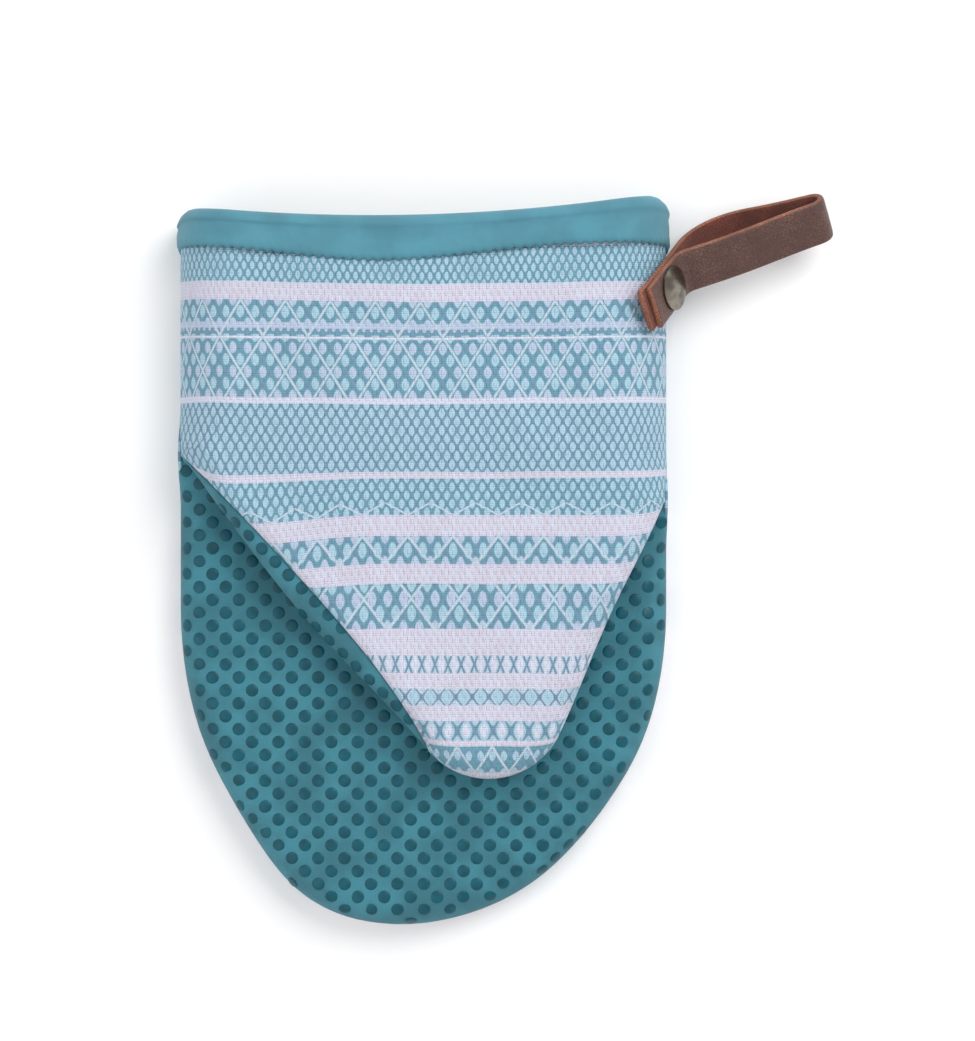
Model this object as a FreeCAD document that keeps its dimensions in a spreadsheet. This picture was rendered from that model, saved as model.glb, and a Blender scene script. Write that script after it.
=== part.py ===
import FreeCAD, Part
import math
import os

import Sketcher

from FreeCAD import Placement, Rotation, Vector

# A short oven mitt that pinches like a beak, lying on its back.
# +X to the wearer's right, +Y from the fingertips to the cuff, +Z up out of the
# patterned front. The origin is on the resting plane, half way across the mitt.
# Every padded wall is three cloths: an outer cover, wadding and a lining.

SIZES = (
    # name, millimetres or degrees, meaning
    ("half_width", 69.3, "half the width of the mitt at the hand"),
    ("side_start_y", -12.0, "where the straight sides start to curve in"),
    ("side_radius", 125.0, "radius of the curved sides"),
    ("tip_radius", 62.6, "radius of the fingertip end"),
    ("cuff_y", 104.0, "the open end"),
    ("cover_end_y", 91.2, "cuff end of the covers, at the binding"),
    ("lining_end_y", 102.9, "cuff end of the wadding and linings, inside the binding"),
    ("front_z", 29.8, "top of the front panel"),
    ("back_seam_z", 7.5, "seam between the back and everything above it"),
    ("finger_top_z", 15.0, "gripping face of the finger pocket"),
    ("thumb_low_z", 15.6, "gripping face of the thumb pocket"),
    ("thumb_seam_z", 22.7, "seam round the thumb pocket"),
    ("back_round", 6.0, "rounding of the back and finger edges"),
    ("hand_round", 18.0, "rounding of the shoulders of the hand part"),
    ("thumb_round", 5.0, "rounding of the thumb edges"),
    ("layer_gap", 0.1, "air between one cloth and the next"),
    ("cover_inset", 0.0, "outer face of the cover, inside the outline"),
    ("cover_thick", 1.0, "quilted cover cloth"),
    ("wadding_inset", 1.1, "outer face of the wadding"),
    ("wadding_thick", 2.4, "wadding of the back and front"),
    ("lining_inset", 3.6, "outer face of the lining"),
    ("lining_thick", 0.8, "lining cloth"),
    ("palm_wadding_thick", 1.7, "thinner wadding of the two gripping faces"),
    ("palm_lining_inset", 2.9, "outer face of the gripping faces' lining"),
    ("palm_lining_thick", 0.7, "lining of the gripping faces"),
    ("binding_width", 12.7, "height of the cuff binding"),
    ("binding_slot_inset", 4.5, "inner side of the binding's slot for the wall"),
    ("binding_inner_inset", 5.3, "inner face of the cuff binding"),
    ("crotch_x", 0.8, "middle of the fold between thumb and fingers"),
    ("crotch_y", 24.6, "the same point, along the mitt"),
    ("crotch_z", 15.3, "the same point, above the table"),
    ("crotch_slant", -5.3, "slope of the fold line across the mitt, degrees"),
    ("notch_angle", 31.0, "each side of the soft hinge from the vertical, degrees"),
    ("notch_rise", 16.5, "height of the soft hinge above the fold line"),
    ("hand_shift", 0.5, "clearance of the hand part from the fold line"),
    ("flex_gap", 0.15, "air each side of the soft hinge"),
    ("thumb_tip_x", 16.8, "centre of the thumb tip's round end"),
    ("thumb_tip_y", -37.8, "the same centre, along the mitt"),
    ("thumb_tip_radius", 22.2, "radius of the thumb tip"),
    ("thumb_left_angle", 130.2, "direction of the thumb's left edge, degrees"),
    ("thumb_right_angle", 64.6, "direction of the thumb's right edge, degrees"),
    ("thumb_open_y", 40.0, "where the thumb's outline is closed, past the fold"),
    ("rivet_y", 77.6, "rivet, along the mitt"),
    ("rivet_tilt", 58.0, "rivet's axis from the vertical, degrees"),
    ("post_radius", 1.6, "rivet post"),
    ("running_fit", 0.05, "strap hole larger than the post, on the radius"),
    ("drill_length", 20.0, "reach of the rivet's hole through the shoulder"),
    ("cap_radius", 6.25, "rivet cap"),
    ("cap_low", 4.55, "underside of the cap above the cloth"),
    ("cap_edge", 0.5, "height of the cap's rim"),
    ("cap_dome", 1.6, "height of the cap's middle"),
    ("post_top", 5.3, "top of the post inside the cap"),
    ("post_foot", 5.3, "inner face of the post's foot, below the cloth's face"),
    ("foot_thick", 0.8, "foot of the post, inside the mitt"),
    ("foot_radius", 4.5, "the same foot"),
    ("strap_width", 12.7, "leather strip, half an inch"),
    ("strap_thick", 2.0, "leather"),
    ("strap_swivel", 34.0, "strap's turn about the rivet as it lies, degrees"),
    ("strap_lift", 0.3, "strap above the cloth"),
    ("strap_end", 11.1, "rivet's axis to the cut end of the outer layer"),
    ("strap_tuck", 1.5, "how much longer the inner layer is"),
    ("strap_flat", 6.6, "rivet's axis to the start of the outer layer's bend"),
    ("strap_bend", 53.0, "bend of the outer layer to level, degrees"),
    ("strap_bend_radius", 4.5, "radius of that bend, on the middle line"),
    ("strap_leg", 38.0, "straight run to the loop's end"),
    ("strap_nose_radius", 3.4, "radius of the loop's end"),
    ("strap_closing", 19.0, "angle between the two runs at the loop's end, degrees"),
    ("strap_belly_radius", 20.0, "radius of the lower run"),
)

SIZE = {name: value for name, value, meaning in SIZES}
FAR = 150.0

doc = FreeCAD.newDocument("oven_mitt")
sheet = doc.addObject("Spreadsheet::Sheet", "Sizes")
for row, (name, value, meaning) in enumerate(SIZES, start=1):
    sheet.set("A%d" % row, name)
    sheet.set("B%d" % row, str(value))
    sheet.set("C%d" % row, meaning)
    sheet.setAlias("B%d" % row, name)
doc.recompute()


def cell(name):
    """The expression that reads one size from the sheet."""
    return "Sizes." + name


def degrees(name):
    """The expression that reads one angle from the sheet."""
    return "Sizes." + name + " * 1 deg"


def new_body(label):
    """A body for one sub-part, named after the file it is written to."""
    body = doc.addObject("PartDesign::Body", label)
    body.Label = label
    return body


def origin_plane(body, role):
    """One of the body's own origin planes."""
    return next(f for f in body.Origin.OriginFeatures if f.Role == role)


def new_sketch(body, name, role, offset=Placement()):
    """An empty sketch on one of the body's origin planes."""
    sketch = body.newObject("Sketcher::SketchObject", name)
    sketch.AttachmentSupport = [(origin_plane(body, role), "")]
    sketch.MapMode = "FlatFace"
    sketch.AttachmentOffset = offset
    return sketch


def bind(sketch, constraint, expression):
    """Add one driving dimension and bind it to the sheet."""
    index = sketch.addConstraint(constraint)
    sketch.setExpression("Constraints[%d]" % index, expression)


def place_point(sketch, line, end, x_expression, y_expression):
    """Hold one end of a line at a place that the sheet gives."""
    drawn = sketch.getPoint(line, end)
    bind(sketch, Sketcher.Constraint("DistanceX", -1, 1, line, end, drawn.x), x_expression)
    bind(sketch, Sketcher.Constraint("DistanceY", -1, 1, line, end, drawn.y), y_expression)


def polygon(sketch, corners):
    """A closed outline of straight lines through corners given as expressions."""
    count = len(corners)
    ring = [Vector(50 * math.cos(2 * math.pi * k / count), 50 * math.sin(2 * math.pi * k / count), 0)
            for k in range(count)]
    for k in range(count):
        sketch.addGeometry(Part.LineSegment(ring[k], ring[(k + 1) % count]), False)
    for k in range(count):
        sketch.addConstraint(Sketcher.Constraint("Coincident", k, 2, (k + 1) % count, 1))
    for k, (x_expression, y_expression) in enumerate(corners):
        place_point(sketch, k, 1, x_expression, y_expression)


def finger_outline(sketch, inset, end_y):
    """The U of the mitt: straight sides, two curved sides and a round tip."""
    half = SIZE["half_width"] - SIZE[inset]
    side = SIZE["side_radius"] - SIZE[inset]
    tip = SIZE["tip_radius"] - SIZE[inset]
    start = SIZE["side_start_y"]
    across = side - half
    turn = math.acos(across / (side - tip))
    low = start - (side - tip) * math.sin(turn)
    up = Vector(0, 0, 1)
    sketch.addGeometry(Part.LineSegment(Vector(half, SIZE[end_y], 0), Vector(half, start, 0)), False)
    sketch.addGeometry(Part.ArcOfCircle(
        Part.Circle(Vector(-across, start, 0), up, side), -turn, 0.0), False)
    sketch.addGeometry(Part.ArcOfCircle(
        Part.Circle(Vector(0, low, 0), up, tip), math.pi + turn, 2 * math.pi - turn), False)
    sketch.addGeometry(Part.ArcOfCircle(
        Part.Circle(Vector(across, start, 0), up, side), math.pi, math.pi + turn), False)
    sketch.addGeometry(Part.LineSegment(Vector(-half, start, 0), Vector(-half, SIZE[end_y], 0)), False)
    sketch.addGeometry(Part.LineSegment(Vector(-half, SIZE[end_y], 0), Vector(half, SIZE[end_y], 0)), False)
    for pair in ((0, 2, 1, 2), (1, 1, 2, 2), (2, 1, 3, 2), (3, 1, 4, 1)):
        sketch.addConstraint(Sketcher.Constraint("Tangent", *pair))
    sketch.addConstraint(Sketcher.Constraint("Coincident", 4, 2, 5, 1))
    sketch.addConstraint(Sketcher.Constraint("Coincident", 5, 2, 0, 1))
    sketch.addConstraint(Sketcher.Constraint("Vertical", 0))
    sketch.addConstraint(Sketcher.Constraint("Horizontal", 5))
    sketch.addConstraint(Sketcher.Constraint("PointOnObject", 2, 3, -2))
    sketch.addConstraint(Sketcher.Constraint("Equal", 1, 3))
    less = " - " + cell(inset)
    bind(sketch, Sketcher.Constraint("DistanceX", -1, 1, 0, 1, half), cell("half_width") + less)
    bind(sketch, Sketcher.Constraint("DistanceY", -1, 1, 0, 1, SIZE[end_y]), cell(end_y))
    bind(sketch, Sketcher.Constraint("DistanceY", -1, 1, 0, 2, start), cell("side_start_y"))
    bind(sketch, Sketcher.Constraint("Radius", 1, side), cell("side_radius") + less)
    bind(sketch, Sketcher.Constraint("Radius", 2, tip), cell("tip_radius") + less)


def thumb_outline(sketch, inset):
    """The V of the thumb pocket: two straight edges and a round tip."""
    centre = Vector(SIZE["thumb_tip_x"], SIZE["thumb_tip_y"], 0)
    radius = SIZE["thumb_tip_radius"] - SIZE[inset]
    left = math.radians(SIZE["thumb_left_angle"])
    right = math.radians(SIZE["thumb_right_angle"])
    touch_left = centre + Vector(math.cos(left + math.pi / 2), math.sin(left + math.pi / 2), 0) * radius
    touch_right = centre + Vector(math.cos(right - math.pi / 2), math.sin(right - math.pi / 2), 0) * radius
    open_y = SIZE["thumb_open_y"]
    top_left = touch_left + Vector(1 / math.tan(left), 1, 0) * (open_y - touch_left.y)
    top_right = touch_right + Vector(1 / math.tan(right), 1, 0) * (open_y - touch_right.y)
    top_left.y = open_y
    top_right.y = open_y
    sketch.addGeometry(Part.LineSegment(touch_right, top_right), False)
    sketch.addGeometry(Part.LineSegment(top_right, top_left), False)
    sketch.addGeometry(Part.LineSegment(touch_left, top_left), False)
    sketch.addGeometry(Part.ArcOfCircle(
        Part.Circle(centre, Vector(0, 0, 1), radius), left + math.pi / 2, right + 1.5 * math.pi), False)
    sketch.addConstraint(Sketcher.Constraint("Coincident", 0, 2, 1, 1))
    sketch.addConstraint(Sketcher.Constraint("Coincident", 1, 2, 2, 2))
    sketch.addConstraint(Sketcher.Constraint("Tangent", 2, 1, 3, 1))
    sketch.addConstraint(Sketcher.Constraint("Tangent", 0, 1, 3, 2))
    sketch.addConstraint(Sketcher.Constraint("Horizontal", 1))
    bind(sketch, Sketcher.Constraint("DistanceX", -1, 1, 3, 3, centre.x), cell("thumb_tip_x"))
    bind(sketch, Sketcher.Constraint("DistanceY", -1, 1, 3, 3, centre.y), cell("thumb_tip_y"))
    bind(sketch, Sketcher.Constraint("Radius", 3, radius),
         cell("thumb_tip_radius") + " - " + cell(inset))
    bind(sketch, Sketcher.Constraint("DistanceY", -1, 1, 0, 2, open_y), cell("thumb_open_y"))
    bind(sketch, Sketcher.Constraint("Angle", 0, right), degrees("thumb_right_angle"))
    bind(sketch, Sketcher.Constraint("Angle", 2, left), degrees("thumb_left_angle"))


def box_outline(sketch, inset):
    """The mouth's outline: round shoulders above, tighter rounding below."""
    half = SIZE["half_width"] - SIZE[inset]
    top = SIZE["front_z"] - SIZE[inset]
    low = SIZE[inset]
    big = SIZE["hand_round"] - SIZE[inset]
    small = SIZE["back_round"] - SIZE[inset]
    first = sketch.GeometryCount
    shapes = (
        Part.LineSegment(Vector(-half + big, top, 0), Vector(half - big, top, 0)),
        corner_arc(half - big, top - big, big, 0),
        Part.LineSegment(Vector(half, top - big, 0), Vector(half, low + small, 0)),
        corner_arc(half - small, low + small, small, 270),
        Part.LineSegment(Vector(half - small, low, 0), Vector(-half + small, low, 0)),
        corner_arc(-half + small, low + small, small, 180),
        Part.LineSegment(Vector(-half, low + small, 0), Vector(-half, top - big, 0)),
        corner_arc(-half + big, top - big, big, 90),
    )
    for shape in shapes:
        sketch.addGeometry(shape, False)
    for line, end, arc, arc_end in ((0, 2, 1, 2), (2, 1, 1, 1), (2, 2, 3, 2), (4, 1, 3, 1),
                                    (4, 2, 5, 2), (6, 1, 5, 1), (6, 2, 7, 2), (0, 1, 7, 1)):
        sketch.addConstraint(Sketcher.Constraint("Tangent", first + line, end, first + arc, arc_end))
    for line in (0, 4):
        sketch.addConstraint(Sketcher.Constraint("Horizontal", first + line))
    sketch.addConstraint(Sketcher.Constraint("Equal", first + 1, first + 7))
    sketch.addConstraint(Sketcher.Constraint("Equal", first + 3, first + 5))
    less = " - " + cell(inset)
    bind(sketch, Sketcher.Constraint("DistanceX", -1, 1, first + 2, 1, half), cell("half_width") + less)
    bind(sketch, Sketcher.Constraint("DistanceX", -1, 1, first + 6, 1, -half),
         "-(" + cell("half_width") + less + ")")
    bind(sketch, Sketcher.Constraint("DistanceY", -1, 1, first, 2, top), cell("front_z") + less)
    bind(sketch, Sketcher.Constraint("DistanceY", -1, 1, first + 4, 1, low), cell(inset))
    bind(sketch, Sketcher.Constraint("Radius", first + 1, big), cell("hand_round") + less)
    bind(sketch, Sketcher.Constraint("Radius", first + 3, small), cell("back_round") + less)


def corner_arc(x, y, radius, start):
    """A quarter circle from the start angle, in degrees."""
    circle = Part.Circle(Vector(x, y, 0), Vector(0, 0, 1), radius)
    return Part.ArcOfCircle(circle, math.radians(start), math.radians(start + 90))


def arch_outline(sketch, inset, thick):
    """The hand part's wall seen from the cuff: two sides and a rounded top."""
    outer = SIZE["half_width"] - SIZE[inset]
    low = SIZE["back_seam_z"] + SIZE["layer_gap"]
    lines = []
    for depth in (0.0, SIZE[thick]):
        half = outer - depth
        top = SIZE["front_z"] - SIZE[inset] - depth
        big = SIZE["hand_round"] - SIZE[inset] - depth
        lines.append(sketch.GeometryCount)
        sketch.addGeometry(Part.LineSegment(Vector(-half, low, 0), Vector(-half, top - big, 0)), False)
        sketch.addGeometry(corner_arc(-half + big, top - big, big, 90), False)
        sketch.addGeometry(Part.LineSegment(Vector(-half + big, top, 0), Vector(half - big, top, 0)), False)
        sketch.addGeometry(corner_arc(half - big, top - big, big, 0), False)
        sketch.addGeometry(Part.LineSegment(Vector(half, top - big, 0), Vector(half, low, 0)), False)
    for first, depth in zip(lines, ("", " - " + cell(thick))):
        less = " - " + cell(inset) + depth
        for line, end, arc, arc_end in ((0, 2, 1, 2), (2, 1, 1, 1), (2, 2, 3, 2), (4, 1, 3, 1)):
            sketch.addConstraint(
                Sketcher.Constraint("Tangent", first + line, end, first + arc, arc_end))
        sketch.addConstraint(Sketcher.Constraint("Horizontal", first + 2))
        sketch.addConstraint(Sketcher.Constraint("Equal", first + 1, first + 3))
        bind(sketch, Sketcher.Constraint("DistanceX", -1, 1, first, 1, -outer),
             "-(" + cell("half_width") + less + ")")
        bind(sketch, Sketcher.Constraint("DistanceX", -1, 1, first + 4, 2, outer),
             cell("half_width") + less)
        bind(sketch, Sketcher.Constraint("DistanceY", -1, 1, first + 2, 1, 20.0),
             cell("front_z") + less)
        bind(sketch, Sketcher.Constraint("Radius", first + 1, 10.0), cell("hand_round") + less)
        for line, end in ((first, 1), (first + 4, 2)):
            bind(sketch, Sketcher.Constraint("DistanceY", -1, 1, line, end, low),
                 cell("back_seam_z") + " + " + cell("layer_gap"))
    outer_first, inner_first = lines
    for side, end, sign in ((0, 1, -1), (4, 2, 1)):
        ends = [Vector(sign * (outer - depth), low, 0) for depth in (0.0, SIZE[thick])]
        foot = sketch.addGeometry(Part.LineSegment(*ends), False)
        sketch.addConstraint(Sketcher.Constraint("Coincident", outer_first + side, end, foot, 1))
        sketch.addConstraint(Sketcher.Constraint("Coincident", inner_first + side, end, foot, 2))


def pad(body, sketch, expression, reverse=False):
    """Raise a sketch by a length from the sheet."""
    feature = body.newObject("PartDesign::Pad", "Pad")
    feature.Profile = sketch
    feature.Reversed = reverse
    feature.setExpression("Length", expression)
    doc.recompute()
    return feature


def pocket(body, sketch, expression, both_ways=False):
    """Cut a sketch away by a length from the sheet, and see that it did cut."""
    before = body.Shape.Volume
    feature = body.newObject("PartDesign::Pocket", "Pocket")
    feature.Profile = sketch
    feature.Midplane = both_ways
    feature.setExpression("Length", expression)
    doc.recompute()
    if not body.Shape.Volume < before:
        raise RuntimeError(body.Label + ": a pocket cut nothing")
    return feature


def edges_at(shape, height, smooth):
    """Names of the edges that lie flat at a height, without those at the open end."""
    names = []
    for number, edge in enumerate(shape.Edges, start=1):
        box = edge.BoundBox
        flat = abs(box.ZMin - height) < 1e-4 and abs(box.ZMax - height) < 1e-4
        if flat and smooth(box):
            names.append("Edge%d" % number)
    return names


def tray(label, outline, inset, thick, low, high, rounding, opens_up, end_y):
    """One layer of a padded panel: a shallow tray with an open end and an open side.

    low and high are expressions with their numbers; the closed face is the low one
    when the tray opens upwards.
    """
    body = new_body(label)
    low_value, low_expression = low
    high_value, high_expression = high
    sketch = new_sketch(body, "Outline", "XY_Plane")
    sketch.setExpression(".AttachmentOffset.Base.z", low_expression)
    outline(sketch)
    doc.recompute()
    solid = pad(body, sketch, "(" + high_expression + ") - (" + low_expression + ")")
    closed_z = low_value if opens_up else high_value
    open_z = high_value if opens_up else low_value
    rim = edges_at(solid.Shape, closed_z, lambda box: box.YMin < end_y - 1e-3)
    fillet = body.newObject("PartDesign::Fillet", "Rounding")
    fillet.Base = (solid, rim)
    fillet.setExpression("Radius", cell(rounding) + " - " + cell(inset))
    doc.recompute()
    faces = []
    for number, face in enumerate(fillet.Shape.Faces, start=1):
        box = face.BoundBox
        at_side = abs(box.ZMin - open_z) < 1e-4 and abs(box.ZMax - open_z) < 1e-4
        at_end = abs(box.YMin - end_y) < 1e-4 and abs(box.YMax - end_y) < 1e-4
        if at_side or at_end:
            faces.append("Face%d" % number)
    shell = body.newObject("PartDesign::Thickness", "Wall")
    shell.Base = (fillet, faces)
    shell.Mode = 0
    shell.Join = 0
    shell.Reversed = True
    shell.setExpression("Value", cell(thick))
    doc.recompute()
    if not 0 < body.Shape.Volume < fillet.Shape.Volume:
        raise RuntimeError(label + ": the wall was not hollowed")
    return body


def fold_sketch(body, name):
    """A sketch across the fold line: x away from the fingertips, y up."""
    sketch = new_sketch(body, name, "YZ_Plane")
    sketch.setExpression(".AttachmentOffset.Base.x", cell("crotch_y"))
    sketch.setExpression(".AttachmentOffset.Base.z", cell("crotch_x"))
    sketch.AttachmentOffset = Placement(
        Vector(SIZE["crotch_y"], 0, SIZE["crotch_x"]),
        Rotation(Vector(0, 1, 0), SIZE["crotch_slant"]))
    return sketch


def cut_at_fold(body, corners):
    """Cut a polygon away right across the mitt, along the fold line."""
    sketch = fold_sketch(body, "FoldCut")
    polygon(sketch, corners)
    doc.recompute()
    pocket(body, sketch, str(4 * FAR), both_ways=True)


LEAN = " * tan(" + degrees("notch_angle") + ")"
FOLD_Z = cell("crotch_z")
TOP_Z = FOLD_Z + " + " + cell("notch_rise")
RUN = cell("notch_rise") + LEAN
NEAR = str(-FAR)
AWAY = str(FAR)


def drill_for_rivet(body):
    """The rivet's hole through one layer of the shoulder."""
    sketch = new_sketch(body, "RivetHole", "XY_Plane", rivet_place())
    circle = sketch.addGeometry(Part.Circle(Vector(0, 0, 0), Vector(0, 0, 1), 1.0), False)
    sketch.addConstraint(Sketcher.Constraint("Coincident", circle, 3, -1, 1))
    bind(sketch, Sketcher.Constraint("Radius", circle, 1.0),
         cell("post_radius") + " + " + cell("running_fit"))
    doc.recompute()
    pocket(body, sketch, cell("drill_length"), both_ways=True)


def rivet_place():
    """Where the rivet's axis leaves the shoulder: local z out of the cloth, x downhill."""
    tilt = math.radians(SIZE["rivet_tilt"])
    across = SIZE["half_width"] - SIZE["hand_round"] * (1 - math.sin(tilt))
    height = SIZE["front_z"] - SIZE["hand_round"] * (1 - math.cos(tilt))
    turn = Rotation(Vector(0, 1, 0), SIZE["rivet_tilt"])
    return Placement(Vector(across, SIZE["rivet_y"], height), turn)


def back_panel():
    """The three layers that the mitt lies on."""
    seam = (SIZE["back_seam_z"], cell("back_seam_z"))
    for part, inset, thick, end in (
            ("cover", "cover_inset", "cover_thick", "cover_end_y"),
            ("wadding", "wadding_inset", "wadding_thick", "lining_end_y"),
            ("lining", "lining_inset", "lining_thick", "lining_end_y")):
        tray("back_" + part, lambda sketch: finger_outline(sketch, inset, end), inset, thick,
             (SIZE[inset], cell(inset)), seam, "back_round", True, SIZE[end])


def palm_layers():
    """Name, inset and thickness cells of a gripping face's three layers."""
    return (("grip", "cover_inset", "cover_thick"),
            ("wadding", "wadding_inset", "palm_wadding_thick"),
            ("lining", "palm_lining_inset", "palm_lining_thick"))


def finger_palm():
    """The gripping face of the finger pocket, from the fold to the fingertips."""
    low = (SIZE["back_seam_z"] + SIZE["layer_gap"], cell("back_seam_z") + " + " + cell("layer_gap"))
    for part, inset, thick in palm_layers():
        high = (SIZE["finger_top_z"] - SIZE[inset], cell("finger_top_z") + " - " + cell(inset))
        body = tray("finger_palm_" + part,
                    lambda sketch: finger_outline(sketch, inset, "thumb_open_y"), inset, thick,
                    low, high, "back_round", False, SIZE["thumb_open_y"])
        cut_at_fold(body, (("0", "-1"), (AWAY, "-1"), (AWAY, TOP_Z), ("0", TOP_Z)))


def thumb_palm():
    """The gripping face of the thumb pocket, facing the fingers."""
    seam = (SIZE["thumb_seam_z"] - SIZE["layer_gap"], cell("thumb_seam_z") + " - " + cell("layer_gap"))
    for part, inset, thick in palm_layers():
        low = (SIZE["thumb_low_z"] + SIZE[inset], cell("thumb_low_z") + " + " + cell(inset))
        body = tray("thumb_palm_" + part, lambda sketch: thumb_outline(sketch, inset), inset, thick,
                    low, seam, "thumb_round", True, SIZE["thumb_open_y"])
        cut_thumb_base(body)


def cut_thumb_base(body):
    """Leave only what lies on the thumb's side of the soft hinge."""
    cut_at_fold(body, (("0", FOLD_Z), (AWAY, FOLD_Z), (AWAY, TOP_Z), ("-" + RUN, TOP_Z)))


def front_layers():
    """Name, inset and thickness cells of the patterned front's three layers."""
    return (("cover", "cover_inset", "cover_thick"),
            ("wadding", "wadding_inset", "wadding_thick"),
            ("lining", "lining_inset", "lining_thick"))


def thumb_front():
    """The patterned front of the thumb pocket."""
    seam = (SIZE["thumb_seam_z"], cell("thumb_seam_z"))
    for part, inset, thick in front_layers():
        high = (SIZE["front_z"] - SIZE[inset], cell("front_z") + " - " + cell(inset))
        body = tray("thumb_front_" + part, lambda sketch: thumb_outline(sketch, inset), inset, thick,
                    seam, high, "thumb_round", False, SIZE["thumb_open_y"])
        cut_thumb_base(body)


def arch(label, inset, thick, end, length):
    """One layer of the hand part: its front and both of its sides."""
    body = new_body(label)
    sketch = new_sketch(body, "Arch", "XZ_Plane")
    sketch.setExpression(".AttachmentOffset.Base.z", "-" + cell(end))
    arch_outline(sketch, inset, thick)
    doc.recompute()
    pad(body, sketch, length)
    return body


def hand_front():
    """The patterned front and sides of the hand part, from the fold to the cuff."""
    ends = {"cover": "cover_end_y", "wadding": "lining_end_y", "lining": "lining_end_y"}
    for part, inset, thick in front_layers():
        body = arch("hand_front_" + part, inset, thick, ends[part], cell(ends[part]) + " + 15")
        step = cell("layer_gap")
        cut_at_fold(body, ((NEAR, "-1"), (step, "-1"), (step, FOLD_Z), (cell("hand_shift"), FOLD_Z),
                           (cell("hand_shift") + " + " + RUN, TOP_Z), (NEAR, TOP_Z)))
        drill_for_rivet(body)


def soft_hinge():
    """The stretch of the front that folds when the thumb opens."""
    low = cell("thumb_low_z")
    lean_low = "(" + low + " - " + FOLD_Z + ")" + LEAN
    far_side = cell("hand_shift") + " - " + cell("flex_gap")
    for part, inset, thick in front_layers():
        body = arch("flex_front_" + part, inset, thick, "thumb_open_y", cell("thumb_open_y") + " + 15")
        cut_at_fold(body, ((NEAR, "-1"), (AWAY, "-1"), (AWAY, TOP_Z),
                           (far_side + " + " + RUN, TOP_Z), (far_side + " + " + lean_low, low),
                           (NEAR, low)))
        cut_at_fold(body, ((NEAR, FOLD_Z), (cell("flex_gap"), FOLD_Z),
                           (cell("flex_gap") + " - " + RUN, TOP_Z), (NEAR, TOP_Z)))


def cuff_binding():
    """The binding folded over the open end, outside, over the edge and inside."""
    body = new_body("cuff_binding")
    start = "-(" + cell("cuff_y") + " - " + cell("binding_width") + ")"
    outside = new_sketch(body, "Outside", "XZ_Plane")
    outside.setExpression(".AttachmentOffset.Base.z", "-" + cell("cuff_y"))
    box_outline(outside, "cover_inset")
    doc.recompute()
    pad(body, outside, cell("binding_width"))
    inside = new_sketch(body, "Inside", "XZ_Plane")
    inside.setExpression(".AttachmentOffset.Base.z", start)
    box_outline(inside, "binding_inner_inset")
    doc.recompute()
    pocket(body, inside, cell("binding_width"))
    slot = new_sketch(body, "Slot", "XZ_Plane")
    slot.setExpression(".AttachmentOffset.Base.z", start)
    box_outline(slot, "cover_thick")
    box_outline(slot, "binding_slot_inset")
    doc.recompute()
    pocket(body, slot, cell("binding_width") + " - " + cell("cover_thick"))


def strap_place():
    """The strap's own frame: x along the layers, y out of the cloth, z across the strip."""
    swivel = Placement(Vector(0, 0, 0), Rotation(Vector(0, 0, 1), SIZE["strap_swivel"]))
    upright = Placement(Vector(0, 0, 0), Rotation(Vector(1, 0, 0), 90))
    return rivet_place() * swivel * upright


def heading(angle):
    """A unit vector in the sketch at an angle in radians."""
    return Vector(math.cos(angle), math.sin(angle), 0)


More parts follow.
